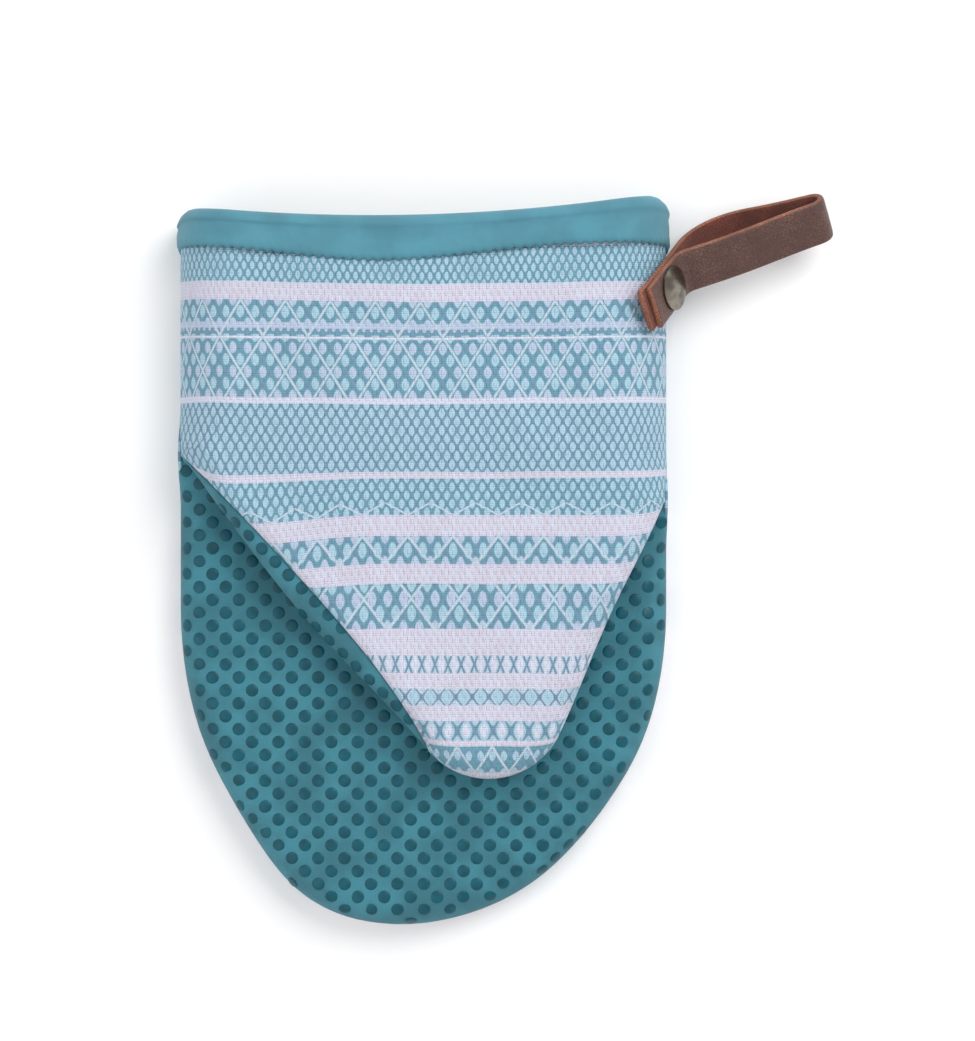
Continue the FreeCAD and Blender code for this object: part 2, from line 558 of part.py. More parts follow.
def strap_route(sketch):
    """The strip's middle line: out over the rivet, round the loop and back under itself."""
    half_thick = SIZE["strap_thick"] / 2
    inner_y = SIZE["strap_lift"] + half_thick
    outer_y = inner_y + SIZE["strap_thick"] + SIZE["layer_gap"]
    bend = math.radians(SIZE["strap_bend"])
    back = bend - math.pi + math.radians(SIZE["strap_closing"])
    quarter = math.pi / 2
    start = Vector(-SIZE["strap_end"], outer_y, 0)
    flat = Vector(SIZE["strap_flat"], outer_y, 0)
    bend_centre = flat + Vector(0, SIZE["strap_bend_radius"], 0)
    level = bend_centre + heading(bend - quarter) * SIZE["strap_bend_radius"]
    nose = level + heading(bend) * SIZE["strap_leg"]
    nose_centre = nose + heading(bend - quarter) * SIZE["strap_nose_radius"]
    turned = nose_centre + heading(back + quarter) * SIZE["strap_nose_radius"]
    belly = SIZE["strap_belly_radius"]
    drop = turned.y - inner_y - belly * (1 + math.cos(back))
    belly_start = turned + heading(back) * (drop / -math.sin(back))
    belly_centre = belly_start - heading(back + quarter) * belly
    belly_end = belly_centre + Vector(0, -belly, 0)
    up = Vector(0, 0, 1)
    shapes = (
        Part.LineSegment(start, flat),
        Part.ArcOfCircle(Part.Circle(bend_centre, up, SIZE["strap_bend_radius"]), -quarter, bend - quarter),
        Part.LineSegment(level, nose),
        Part.ArcOfCircle(Part.Circle(nose_centre, up, SIZE["strap_nose_radius"]), back + quarter,
                         bend + quarter),
        Part.LineSegment(turned, belly_start),
        Part.ArcOfCircle(Part.Circle(belly_centre, up, belly), -quarter, back + quarter),
        Part.LineSegment(belly_end, Vector(-SIZE["strap_end"] - SIZE["strap_tuck"], inner_y, 0)),
    )
    for shape in shapes:
        sketch.addGeometry(shape, False)
    for line, end, arc, arc_end in ((0, 2, 1, 1), (2, 1, 1, 2), (2, 2, 3, 2), (4, 1, 3, 1),
                                    (4, 2, 5, 2), (6, 1, 5, 1)):
        sketch.addConstraint(Sketcher.Constraint("Tangent", line, end, arc, arc_end))
    for line in (0, 6):
        sketch.addConstraint(Sketcher.Constraint("Horizontal", line))
    inner = cell("strap_lift") + " + " + cell("strap_thick") + " / 2"
    end = "-" + cell("strap_end")
    place_point(sketch, 0, 1, end, inner + " + " + cell("strap_thick") + " + " + cell("layer_gap"))
    place_point(sketch, 6, 2, end + " - " + cell("strap_tuck"), inner)
    bind(sketch, Sketcher.Constraint("DistanceX", -1, 1, 0, 2, flat.x), cell("strap_flat"))
    bind(sketch, Sketcher.Constraint("Radius", 1, 1.0), cell("strap_bend_radius"))
    bind(sketch, Sketcher.Constraint("Radius", 3, 1.0), cell("strap_nose_radius"))
    bind(sketch, Sketcher.Constraint("Radius", 5, 1.0), cell("strap_belly_radius"))
    bind(sketch, Sketcher.Constraint("Distance", 2, 1.0), cell("strap_leg"))
    bind(sketch, Sketcher.Constraint("Angle", 2, bend), degrees("strap_bend"))
    bind(sketch, Sketcher.Constraint("Angle", 4, back),
         "(" + cell("strap_bend") + " - 180 + " + cell("strap_closing") + ") * 1 deg")


def leather_strap():
    """The hanging loop: one strip, both ends on the rivet."""
    body = new_body("leather_strap")
    route = new_sketch(body, "Route", "XY_Plane")
    strap_route(route)
    section = new_sketch(body, "Section", "YZ_Plane")
    section.setExpression(".AttachmentOffset.Base.z", "-" + cell("strap_end"))
    low = cell("strap_lift") + " + " + cell("strap_thick") + " + " + cell("layer_gap")
    high = low + " + " + cell("strap_thick")
    side = cell("strap_width") + " / 2"
    polygon(section, ((low, "-" + side), (high, "-" + side), (high, side), (low, side)))
    doc.recompute()
    sweep = body.newObject("PartDesign::AdditivePipe", "Strip")
    sweep.Profile = section
    sweep.Spine = (route, ["Edge%d" % number for number in range(1, route.GeometryCount + 1)])
    doc.recompute()
    length = sum(edge.Length for edge in route.Shape.Edges)
    expected = length * SIZE["strap_width"] * SIZE["strap_thick"]
    if abs(body.Shape.Volume - expected) > 0.01 * expected:
        raise RuntimeError("leather_strap: the sweep's volume is wrong")
    hole = new_sketch(body, "RivetHole", "XZ_Plane")
    circle = hole.addGeometry(Part.Circle(Vector(0, 0, 0), Vector(0, 0, 1), 1.0), False)
    hole.addConstraint(Sketcher.Constraint("Coincident", circle, 3, -1, 1))
    bind(hole, Sketcher.Constraint("Radius", circle, 1.0),
         cell("post_radius") + " + " + cell("running_fit"))
    doc.recompute()
    pocket(body, hole, "2 * " + cell("post_top"), both_ways=True)
    body.Placement = strap_place()


def revolve(body, sketch):
    """Turn a half section right round the body's own Z axis."""
    feature = body.newObject("PartDesign::Revolution", "Revolution")
    feature.Profile = sketch
    feature.ReferenceAxis = (sketch, ["V_Axis"])
    feature.Angle = 360
    doc.recompute()


def rivet_cap():
    """The domed cap on the outside, with a blind socket for the post."""
    body = new_body("rivet_cap")
    sketch = new_sketch(body, "HalfSection", "XZ_Plane")
    low = SIZE["cap_low"]
    rim = low + SIZE["cap_edge"]
    top = low + SIZE["cap_dome"]
    rise = top - rim
    radius = (SIZE["cap_radius"] ** 2 + rise ** 2) / (2 * rise)
    lean = math.asin(SIZE["cap_radius"] / radius)
    corners = (Vector(0, top, 0), Vector(0, SIZE["post_top"], 0),
               Vector(SIZE["post_radius"], SIZE["post_top"], 0), Vector(SIZE["post_radius"], low, 0),
               Vector(SIZE["cap_radius"], low, 0), Vector(SIZE["cap_radius"], rim, 0))
    for start, end in zip(corners, corners[1:]):
        sketch.addGeometry(Part.LineSegment(start, end), False)
    dome = Part.Circle(Vector(0, top - radius, 0), Vector(0, 0, 1), radius)
    arc = sketch.addGeometry(Part.ArcOfCircle(dome, math.pi / 2 - lean, math.pi / 2), False)
    for line in range(4):
        sketch.addConstraint(Sketcher.Constraint("Coincident", line, 2, line + 1, 1))
    sketch.addConstraint(Sketcher.Constraint("Coincident", 4, 2, arc, 1))
    sketch.addConstraint(Sketcher.Constraint("Coincident", arc, 2, 0, 1))
    sketch.addConstraint(Sketcher.Constraint("PointOnObject", arc, 3, -2))
    low_cell = cell("cap_low")
    place_point(sketch, 0, 1, "0", low_cell + " + " + cell("cap_dome"))
    place_point(sketch, 1, 1, "0", cell("post_top"))
    place_point(sketch, 2, 1, cell("post_radius"), cell("post_top"))
    place_point(sketch, 3, 1, cell("post_radius"), low_cell)
    place_point(sketch, 4, 1, cell("cap_radius"), low_cell)
    place_point(sketch, 4, 2, cell("cap_radius"), low_cell + " + " + cell("cap_edge"))
    doc.recompute()
    revolve(body, sketch)
    body.Placement = rivet_place()


def rivet_post():
    """The post through strap and wall, with its flat foot inside the mitt."""
    body = new_body("rivet_post")
    sketch = new_sketch(body, "HalfSection", "XZ_Plane")
    foot = "-" + cell("post_foot")
    under = foot + " - " + cell("foot_thick")
    polygon(sketch, (("0", cell("post_top")), ("0", under), (cell("foot_radius"), under),
                     (cell("foot_radius"), foot), (cell("post_radius"), foot),
                     (cell("post_radius"), cell("post_top"))))
    doc.recompute()
    revolve(body, sketch)
    body.Placement = rivet_place()


def write_parts():
    """Check every object, then write each sub-part to its own file."""
    doc.recompute()
    for item in doc.Objects:
        if "Invalid" in item.State or "Error" in item.State:
            raise RuntimeError(item.Label + " did not build")
    bodies = [item for item in doc.Objects if item.TypeId == "PartDesign::Body"]
    for body in bodies:
        if body.Shape.isNull() or not body.Shape.isValid() or len(body.Shape.Solids) != 1:
            raise RuntimeError(body.Label + " is not one good solid")
    os.makedirs("parts", exist_ok=True)
    for body in bodies:
        body.Shape.exportStep("parts/" + body.Label + ".step")


back_panel()
finger_palm()
thumb_palm()
thumb_front()
hand_front()
soft_hinge()
cuff_binding()
leather_strap()
rivet_cap()
rivet_post()
write_parts()
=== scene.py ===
"""A short pinch-style oven mitt, lying on its back with its patterned front up.

The cloth is built as the maker cuts it: four padded panels (back, finger palm,
thumb palm and patterned front), each a cover, wadding and a lining, then the
raised grip dots, the cuff binding, the riveted leather loop, and the studio.
Shapes are worked out in millimetres and written to the meshes in metres.
"""

import logging
import math
from dataclasses import dataclass, field
from enum import Enum
from typing import Callable, Dict, List, Sequence, Tuple

import bmesh
import bpy
import numpy as np
from mathutils import Matrix, Vector, noise
from mathutils.bvhtree import BVHTree

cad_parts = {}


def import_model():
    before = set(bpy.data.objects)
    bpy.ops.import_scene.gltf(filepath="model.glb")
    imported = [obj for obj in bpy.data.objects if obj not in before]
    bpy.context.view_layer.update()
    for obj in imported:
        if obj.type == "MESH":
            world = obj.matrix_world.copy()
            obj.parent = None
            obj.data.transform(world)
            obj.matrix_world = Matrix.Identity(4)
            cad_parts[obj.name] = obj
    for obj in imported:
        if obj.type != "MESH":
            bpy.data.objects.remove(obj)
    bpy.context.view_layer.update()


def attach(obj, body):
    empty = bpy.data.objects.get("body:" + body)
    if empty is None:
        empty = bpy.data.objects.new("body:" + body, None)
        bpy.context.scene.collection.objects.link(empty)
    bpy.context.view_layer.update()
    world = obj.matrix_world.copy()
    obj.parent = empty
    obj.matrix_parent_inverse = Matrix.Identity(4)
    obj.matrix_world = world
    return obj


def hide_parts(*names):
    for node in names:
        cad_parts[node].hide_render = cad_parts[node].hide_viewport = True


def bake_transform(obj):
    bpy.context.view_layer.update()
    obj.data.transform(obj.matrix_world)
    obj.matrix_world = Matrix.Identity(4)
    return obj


LOG = logging.getLogger("oven_mitt")
MM = 0.001
Array = np.ndarray
Point = Tuple[float, float]
Curve = Callable[[Array], Array]
Colour = Tuple[float, float, float]
Form = Callable[[Array, Array], Tuple[Array, Array]]
Socket = bpy.types.NodeSocket
Material = bpy.types.Material
Piece = bpy.types.Object
Shell = bmesh.types.BMesh


class Body(Enum):
    """The bodies that the pieces ride on."""

    HAND = "hand"
    THUMB = "thumb"
    STRAP = "strap"


class Facing(Enum):
    """Which way a panel's outer face looks."""

    UP = 1.0
    DOWN = -1.0


# ---------------------------------------------------------------- small maths


def smoothstep(low: float, high: float, value: Array) -> Array:
    """A smooth ramp.

    Args:
        low: Where the ramp is 0.
        high: Where the ramp is 1; it may lie below low.
        value: The values to ramp.

    Returns:
        The ramp, from 0 to 1.
    """
    t = np.clip((value - low) / (high - low), 0.0, 1.0)
    return t * t * (3.0 - 2.0 * t)


def dome(share: Array) -> Array:
    """A quarter ellipse that rises from 0 at the seam to 1 at a share of 1."""
    t = 1.0 - np.clip(share, 0.0, 1.0)
    return np.sqrt(np.clip(1.0 - t * t, 0.0, 1.0))


def cloud(points: Array, size: float, seed: float) -> Array:
    """Smooth random unevenness.

    Args:
        points: Plan points, N by 2, in millimetres.
        size: The size of a hollow or a swell, in millimetres.
        seed: Moves the pattern.

    Returns:
        N values, about -1 to 1.
    """
    return np.array([noise.noise(Vector((x / size, y / size, seed))) for x, y in points])


# ------------------------------------------------------------------ the plan


@dataclass(frozen=True)
class Plan:
    """The mitt's outlines seen from above, in millimetres."""

    half_width: float = 69.3
    side_start: float = -12.0
    side_radius: float = 125.0
    tip_radius: float = 62.6
    tip_lean: float = 6.3
    tip_narrowing: float = 0.072
    cuff_low: float = 97.6
    cuff_low_x: float = -14.0
    cuff_rise: float = 0.00098
    fold_middle: Point = (0.8, 24.6)
    fold_slant: float = math.radians(5.3)
    fold_half: float = 68.6
    thumb_centre: Point = (18.6, -37.9)
    thumb_radius: float = 22.0
    thumb_left_bulge: float = 2.3
    thumb_right_bulge: float = -1.0
    roll_width: float = 6.6

    def past_fold(self, points: Array) -> Array:
        """Distance from the fold line, positive towards the cuff.

        Args:
            points: Plan points, N by 2.

        Returns:
            Distances in millimetres.
        """
        x = points[:, 0] - self.fold_middle[0]
        y = points[:, 1] - self.fold_middle[1]
        return x * math.sin(self.fold_slant) + y * math.cos(self.fold_slant)

    def fold_point(self, x: Array) -> Array:
        """Points of the fold line at given distances across the mitt."""
        y = self.fold_middle[1] - (x - self.fold_middle[0]) * math.tan(self.fold_slant)
        return np.stack([x, y], axis=-1)

    def cuff_point(self, x: Array) -> Array:
        """Points of the sagging cuff edge at given distances across the mitt."""
        return np.stack([x, self.cuff_low + self.cuff_rise * (x - self.cuff_low_x) ** 2], axis=-1)

    def lean(self, points: Array) -> Array:
        """Narrow the fingertips a little and lean them to the left.

        Args:
            points: Plan points, N by 2.

        Returns:
            The moved points.
        """
        reach = self.side_start + self.side_radius - self.tip_radius
        share = np.clip((self.side_start - points[:, 1]) / (reach + 39.0), 0.0, 1.0)
        narrow = 1.0 - self.tip_narrowing * np.exp(-(((share - 0.78) / 0.25) ** 2)) * (share > 0)
        moved = points.copy()
        moved[:, 0] = points[:, 0] * narrow - self.tip_lean * share ** 4.5
        return moved

    def finger_sides(self, left_top: Array, right_top: Array) -> Tuple[Array, Array, Array]:
        """The U below two starting points.

        Args:
            left_top: Where the left side starts.
            right_top: Where the right side starts.

        Returns:
            The left side, the round end and the right side as dense lines.
        """
        across = self.side_radius - self.half_width
        turn = math.acos(across / (self.side_radius - self.tip_radius))
        low = self.side_start - (self.side_radius - self.tip_radius) * math.sin(turn)
        corner = math.radians(38.0)
        angle = np.linspace(0.0, turn, 60)
        side = np.stack([-across + self.side_radius * np.cos(angle),
                         self.side_start - self.side_radius * np.sin(angle)], axis=-1)
        angle = np.linspace(turn, math.pi / 2 - corner, 30)[1:]
        curl = np.stack([self.tip_radius * np.cos(angle), low - self.tip_radius * np.sin(angle)], axis=-1)
        right = np.concatenate([right_top[None, :], side, curl])
        left = np.concatenate([left_top[None, :], side * (-1, 1), curl * (-1, 1)])
        angle = np.linspace(-math.pi / 2 - corner, -math.pi / 2 + corner, 80)
        end = np.stack([self.tip_radius * np.cos(angle), low + self.tip_radius * np.sin(angle)], axis=-1)
        return self.lean(left), self.lean(end), self.lean(right)

    def thumb_sides(self) -> Tuple[Array, Array, Array]:
        """The V of the thumb: left edge, round tip and right edge, from the fold down.

        Returns:
            The three lines.
        """
        centre = np.array(self.thumb_centre)
        starts = self.fold_point(np.array([-self.fold_half, self.fold_half]))
        edges = []
        angles = []
        for start, side, bulge in ((starts[0], 1.0, self.thumb_left_bulge),
                                   (starts[1], -1.0, self.thumb_right_bulge)):
            away = start - centre
            angle = math.atan2(away[1], away[0])
            angle += side * math.acos(self.thumb_radius / np.hypot(*away))
            touch = centre + self.thumb_radius * np.array([math.cos(angle), math.sin(angle)])
            t = np.linspace(0.0, 1.0, 90)[:, None]
            outward = np.array([math.cos(angle), math.sin(angle)])
            edges.append(start + (touch - start) * t + outward * bulge * np.sin(math.pi * t) ** 2)
            angles.append(angle)
        angle = np.linspace(angles[0], angles[1] + 2 * math.pi, 70)
        tip = centre + self.thumb_radius * np.stack([np.cos(angle), np.sin(angle)], axis=-1)
        return edges[0], tip, edges[1]

    def rolled_seam(self, left: Array) -> Tuple[Array, Array]:
        """The left seam of the patterned front, where the grip cloth rolls over the edge.

        Args:
            left: The thumb's left edge.

        Returns:
            The seam line, and the width of the roll along it.
        """
        t = np.linspace(0.0, 1.0, len(left))
        width = self.roll_width * np.sin(math.pi * t ** 1.15) ** 0.85
        along = np.gradient(left, axis=0)
        along /= np.linalg.norm(along, axis=1)[:, None]
        inward = np.stack([-along[:, 1], along[:, 0]], axis=-1)
        return left + inward * width[:, None], width


def walk(line: Array) -> Curve:
    """A line of points as a curve by its share of length, from 0 to 1.

    Args:
        line: Points along a line.

    Returns:
        The curve.
    """
    steps = np.linalg.norm(np.diff(line, axis=0), axis=1)
    length = np.concatenate([[0.0], np.cumsum(steps)])
    length /= length[-1]

    def curve(t: Array) -> Array:
        """The point at a share of the length."""
        return np.stack([np.interp(t, length, line[:, k]) for k in range(line.shape[1])], axis=-1)

    return curve


@dataclass
class Seam:
    """The sewn edge of a panel: its line, and how high and how round the cloth is there."""

    line: Array
    foot: Array
    rounding: Array
    spread: int = 4
    batch: int = 4000
    beside: float = 0.3

    def nearest(self, points: Array) -> Tuple[Array, Array]:
        """How far each point is from the seam, and which seam point is nearest.

        Args:
            points: Plan points, N by 2.

        Returns:
            The distances, and the nearest seam points by number.
        """
        far = np.empty(len(points))
        index = np.empty(len(points), dtype=int)
        for start in range(0, len(points), self.batch):
            part = points[start:start + self.batch]
            gaps = np.linalg.norm(part[:, None, :] - self.line[None, :, :], axis=2)
            index[start:start + self.batch] = gaps.argmin(axis=1)
            far[start:start + self.batch] = gaps.min(axis=1)
        out = self.outward()[index]
        gap = points - self.line[index]
        beside = np.minimum(np.abs(gap[:, 0] * out[:, 1] - gap[:, 1] * out[:, 0]), self.beside)
        return np.sqrt(np.maximum(far ** 2 - beside ** 2, 0.0)), index

    def outward(self) -> Array:
        """The direction out of the panel at each seam point.

        Returns:
            Unit directions, one for each seam point.
        """
        along = np.gradient(self.line, axis=0)
        along /= np.maximum(np.linalg.norm(along, axis=1), 1e-9)[:, None]
        padded = np.pad(along, ((self.spread, self.spread), (0, 0)), mode="edge")
        even = np.ones(2 * self.spread + 1) / (2 * self.spread + 1)
        along = np.stack([np.convolve(padded[:, k], even, mode="valid") for k in range(2)], axis=-1)
        along /= np.maximum(np.linalg.norm(along, axis=1), 1e-9)[:, None]
        return np.stack([along[:, 1], -along[:, 0]], axis=-1)

    def shrunk(self, inset: float) -> "Seam":
        """The seam of a layer that lies this far inside."""
        return Seam(self.line - self.outward() * inset, self.foot, self.rounding)

    def kept_inside(self, points: Array) -> Array:
        """Points outside the seam come back to it.

        Args:
            points: Plan points, N by 2.

        Returns:
            The points, none outside the seam.
        """
        _, index = self.nearest(points)
        beyond = np.einsum("ij,ij->i", points - self.line[index], self.outward()[index])
        return np.where((beyond > 0)[:, None], self.line[index], points)

    def run(self) -> Array:
        """The length of seam up to each of its points."""
        steps = np.linalg.norm(np.diff(self.line, axis=0), axis=1)
        return np.concatenate([[0.0], np.cumsum(steps)])


# ----------------------------------------------------------------- materials


class Nodes:
    """A short way to lay out a material's nodes."""

    def __init__(self, name: str) -> None:
        """Start a material with one shader and its output.

        Args:
            name: Its name.
        """
        self.material = bpy.data.materials.new(name)
        self.material.use_nodes = True
        self.tree = self.material.node_tree
        self.shader = self.tree.nodes["Principled BSDF"]

    def put(self, kind: str, **settings: object) -> bpy.types.Node:
        """Add a node and set its properties.

        Args:
            kind: The node's type.
            settings: The node's properties.

        Returns:
            The node.
        """
        node = self.tree.nodes.new(kind)
        for key, value in settings.items():
            setattr(node, key, value)
        return node

    def feed(self, socket: Socket, value: object) -> None:
        """Link a socket, or set it to a number or a colour."""
        if isinstance(value, Socket):
            self.tree.links.new(value, socket)
        else:
            socket.default_value = value

    def set(self, name: str, value: object) -> None:
        """Set or feed one of the shader's own inputs."""
        self.feed(self.shader.inputs[name], value)

    def math(self, operation: str, *values: object, clamp: bool = False) -> Socket:
        """One step of arithmetic.

        Args:
            operation: Which step.
            values: Numbers or sockets.
            clamp: Whether the result stays from 0 to 1.

        Returns:
            The result.
        """
        node = self.put("ShaderNodeMath", operation=operation, use_clamp=clamp)
        for socket, value in zip(node.inputs, values):
            self.feed(socket, value)
        return node.outputs[0]

    def ramp(self, value: object, low: float, high: float) -> Socket:
        """A smooth ramp from 0 at low to 1 at high.

        Args:
            value: A number or a socket.
            low: Where the ramp is 0.
            high: Where the ramp is 1.

        Returns:
            The ramp.
        """
        node = self.put("ShaderNodeMapRange", interpolation_type="SMOOTHSTEP")
        self.feed(node.inputs["Value"], value)
        node.inputs["From Min"].default_value = low
        node.inputs["From Max"].default_value = high
        return node.outputs["Result"]

    def mix(self, share: object, first: object, second: object) -> Socket:
        """Mix two colours.

        Args:
            share: How much of the second there is.
            first: The first colour.
            second: The second colour.

        Returns:
            The mixed colour.
        """
        node = self.put("ShaderNodeMix", data_type="RGBA")
        self.feed(node.inputs[0], share)
        self.feed(node.inputs[6], first)
        self.feed(node.inputs[7], second)
        return node.outputs[2]

    def noise(self, vector: object, scale: float, detail: float = 3.0) -> Socket:
        """Cloudy unevenness from 0 to 1.

        Args:
            vector: The coordinates.
            scale: How fine it is.
            detail: How many finer levels.

        Returns:
            The unevenness.
        """
        node = self.put("ShaderNodeTexNoise")
        self.feed(node.inputs["Vector"], vector)
        node.inputs["Scale"].default_value = scale
        node.inputs["Detail"].default_value = detail
        return node.outputs["Fac"]

    def place(self) -> Socket:
        """Coordinates fixed to the piece, in metres."""
        return self.put("ShaderNodeTexCoord").outputs["Object"]

    def cloth(self) -> Tuple[Socket, Socket]:
        """Coordinates across and along the flat cloth, in millimetres.

        Returns:
            Across and along.
        """
        split = self.put("ShaderNodeSeparateXYZ")
        self.feed(split.inputs[0], self.put("ShaderNodeUVMap", uv_map="Cloth").outputs[0])
        return split.outputs[0], split.outputs[1]

    def bump(self, height: object, strength: float, distance: float) -> None:
        """Raise the surface by a height from 0 to 1, on top of what is there.

        Args:
            height: A socket from 0 to 1.
            strength: How strong the bump is.
            distance: The height of 1, in metres.
        """
        node = self.put("ShaderNodeBump")
        node.inputs["Strength"].default_value = strength
        node.inputs["Distance"].default_value = distance
        self.feed(node.inputs["Height"], height)
        earlier = self.shader.inputs["Normal"].links
        if earlier:
            self.feed(node.inputs["Normal"], earlier[0].from_socket)
        self.feed(self.shader.inputs["Normal"], node.outputs[0])

    def wave(self, value: object, pitch: float) -> Socket:
        """A sine from 0 to 1 with a pitch in the value's own unit."""
        turn = self.math("MULTIPLY", value, 2 * math.pi / pitch)
        return self.math("MULTIPLY_ADD", self.math("SINE", turn), 0.5, 0.5)

    def zigzag(self, value: object, pitch: float) -> Socket:
        """A triangle wave from 0 to 1 and back in one pitch."""
        return self.math("MULTIPLY", self.math("PINGPONG", value, pitch / 2), 2 / pitch)


@dataclass(frozen=True)
class Finish:
    """What every finish shares: its name, colour and gloss."""

    name: str
    colour: Colour
    roughness: float = 0.85
    sheen: float = 0.25

    def begin(self) -> Nodes:
        """Start the material with its plain values on the shader's own sockets.

        Returns:
            The nodes, with the shader set.
        """
        nodes = Nodes(self.name)
        nodes.set("Roughness", self.roughness)
        nodes.set("Sheen Weight", self.sheen)
        nodes.set("Sheen Roughness", 0.5)
        return nodes

    def shade(self, factor: float) -> Tuple[float, float, float, float]:
        """The colour, lighter or darker, as a node's colour."""
        return linear(self.colour, factor)


def linear(colour: Sequence[float], factor: float = 1.0) -> Tuple[float, float, float, float]:
    """Turn a display colour of 0 to 255 into a linear one.

    Args:
        colour: Red, green and blue.
        factor: Makes it lighter or darker.

    Returns:
        Red, green, blue and alpha.
    """
    values = [min(max(c / 255.0 * factor, 0.0), 1.0) for c in colour]
    red, green, blue = [v / 12.92 if v <= 0.04045 else ((v + 0.055) / 1.055) ** 2.4 for v in values]
    return red, green, blue, 1.0


@dataclass(frozen=True)
class Woven(Finish):
    """A plain twill or tape with visible threads."""

    thread: float = 0.55
    depth: float = 0.0002
    mottle: float = 0.09

    def build(self) -> Material:
        """Lay out the weave.

        Returns:
            The material.
        """
        nodes = self.begin()
        across, along = nodes.cloth()
        slant = nodes.math("ADD", across, along)
        other = nodes.math("SUBTRACT", across, along)
        weft = nodes.wave(slant, self.thread)
        warp = nodes.wave(other, self.thread)
        weave = nodes.math("MULTIPLY_ADD", weft, 0.7, nodes.math("MULTIPLY", warp, 0.3))
        patches = nodes.ramp(nodes.noise(nodes.place(), 90.0), 0.3, 0.7)
        fibres = nodes.noise(nodes.place(), 2600.0, 2.0)
        tone = nodes.mix(patches, self.shade(1.0 - self.mottle), self.shade(1.0 + self.mottle))
        # Painted shade: the gaps between the threads take a darker colour, streaked by the fibres, while the
        # thread tops keep the plain tone.
        fibre_streaks_and_gap_shade = nodes.mix(nodes.ramp(fibres, 0.25, 0.75), self.shade(0.86), tone)
        nodes.set("Base Color", nodes.mix(nodes.ramp(weave, 0.0, 0.45), fibre_streaks_and_gap_shade, tone))
        nodes.bump(nodes.math("MULTIPLY_ADD", fibres, 0.3, weave), 0.6, self.depth)
        return nodes.material


@dataclass(frozen=True)
class MotifRow:
    """One woven row of the patterned cloth: a lattice of diamonds, or a part of one.

    The lattice is where two cosines are equal. The cells that stand on the row's
    start are 'odd', and the ones between are 'even'.
    """

    high: float
    low: float
    pitch: float
    shift: float
    rise: float
    start: float
    even: Colour
    odd: Colour
    rim: Colour
    line: Colour
    line_width: float = 0.3
    rim_width: float = 0.8
    only_lines: bool = False
    straight: bool = False
    soft: float = 0.14
    edge_blur: float = 0.2
    cell_blur: float = 0.1

    @classmethod
    def plain(cls, high: float, low: float, colour: Colour) -> "MotifRow":
        """A narrow band of one colour."""
        return cls(high, low, 4.0, 0.0, 4.0, 0.0, colour, colour, colour, colour)

    @classmethod
    def outlines(cls, high: float, low: float, pitch: float, shift: float, rise: float,
                 start: float, width: float, soft: float) -> "MotifRow":
        """Large straight diamonds, only their lines, over the row that is there."""
        return cls(high, low, pitch, shift, rise, start, PALE, PALE, PALE, THREAD, width,
                   only_lines=True, straight=True, soft=soft)

    def draw(self, nodes: Nodes, across: object, along: object, under: object) -> object:
        """Put the row on top of the colours under it.

        Args:
            nodes: The material's nodes.
            across: Millimetres across the cloth.
            along: Millimetres up the cloth.
            under: The colour below the row.

        Returns:
            The colour with the row on it.
        """
        if self.straight:
            over = nodes.zigzag(nodes.math("SUBTRACT", across, self.shift), self.pitch)
            up = nodes.zigzag(nodes.math("SUBTRACT", along, self.start), self.rise)
            gap = nodes.math("MULTIPLY", nodes.math("SUBTRACT", up, over), 2.0)
        else:
            turn = 2 * math.pi
            over = nodes.math("COSINE", nodes.math("MULTIPLY_ADD", across, turn / self.pitch,
                                                   -turn * self.shift / self.pitch))
            up = nodes.math("COSINE", nodes.math("MULTIPLY_ADD", along, turn / self.rise,
                                                 -turn * self.start / self.rise))
            gap = nodes.math("SUBTRACT", over, up)
        size = nodes.math("ABSOLUTE", gap)
        blur = self.edge_blur
        inside = nodes.math("MULTIPLY", nodes.ramp(along, self.low - blur, self.low + blur),
                            nodes.ramp(along, self.high + blur, self.high - blur))
        is_line = nodes.ramp(size, self.line_width + self.soft, self.line_width - self.soft)
        if self.only_lines:
            return nodes.mix(nodes.math("MULTIPLY", inside, is_line), under, linear(self.line))
        is_even = nodes.ramp(gap, -self.cell_blur, self.cell_blur)
        cell = nodes.mix(is_even, linear(self.odd), linear(self.even))
        cell = nodes.mix(nodes.ramp(size, self.rim_width - self.soft, self.rim_width + self.soft),
                         linear(self.rim), cell)
        return nodes.mix(inside, under, nodes.mix(is_line, cell, linear(self.line)))


PALE = (166, 200, 218)
SLATE = (112, 146, 170)
TEAL = (100, 156, 174)
WHITE = (208, 212, 230)
LAVENDER = (180, 196, 220)
PINK = (205, 199, 216)
THREAD = (190, 206, 222)
MIST = (186, 204, 222)


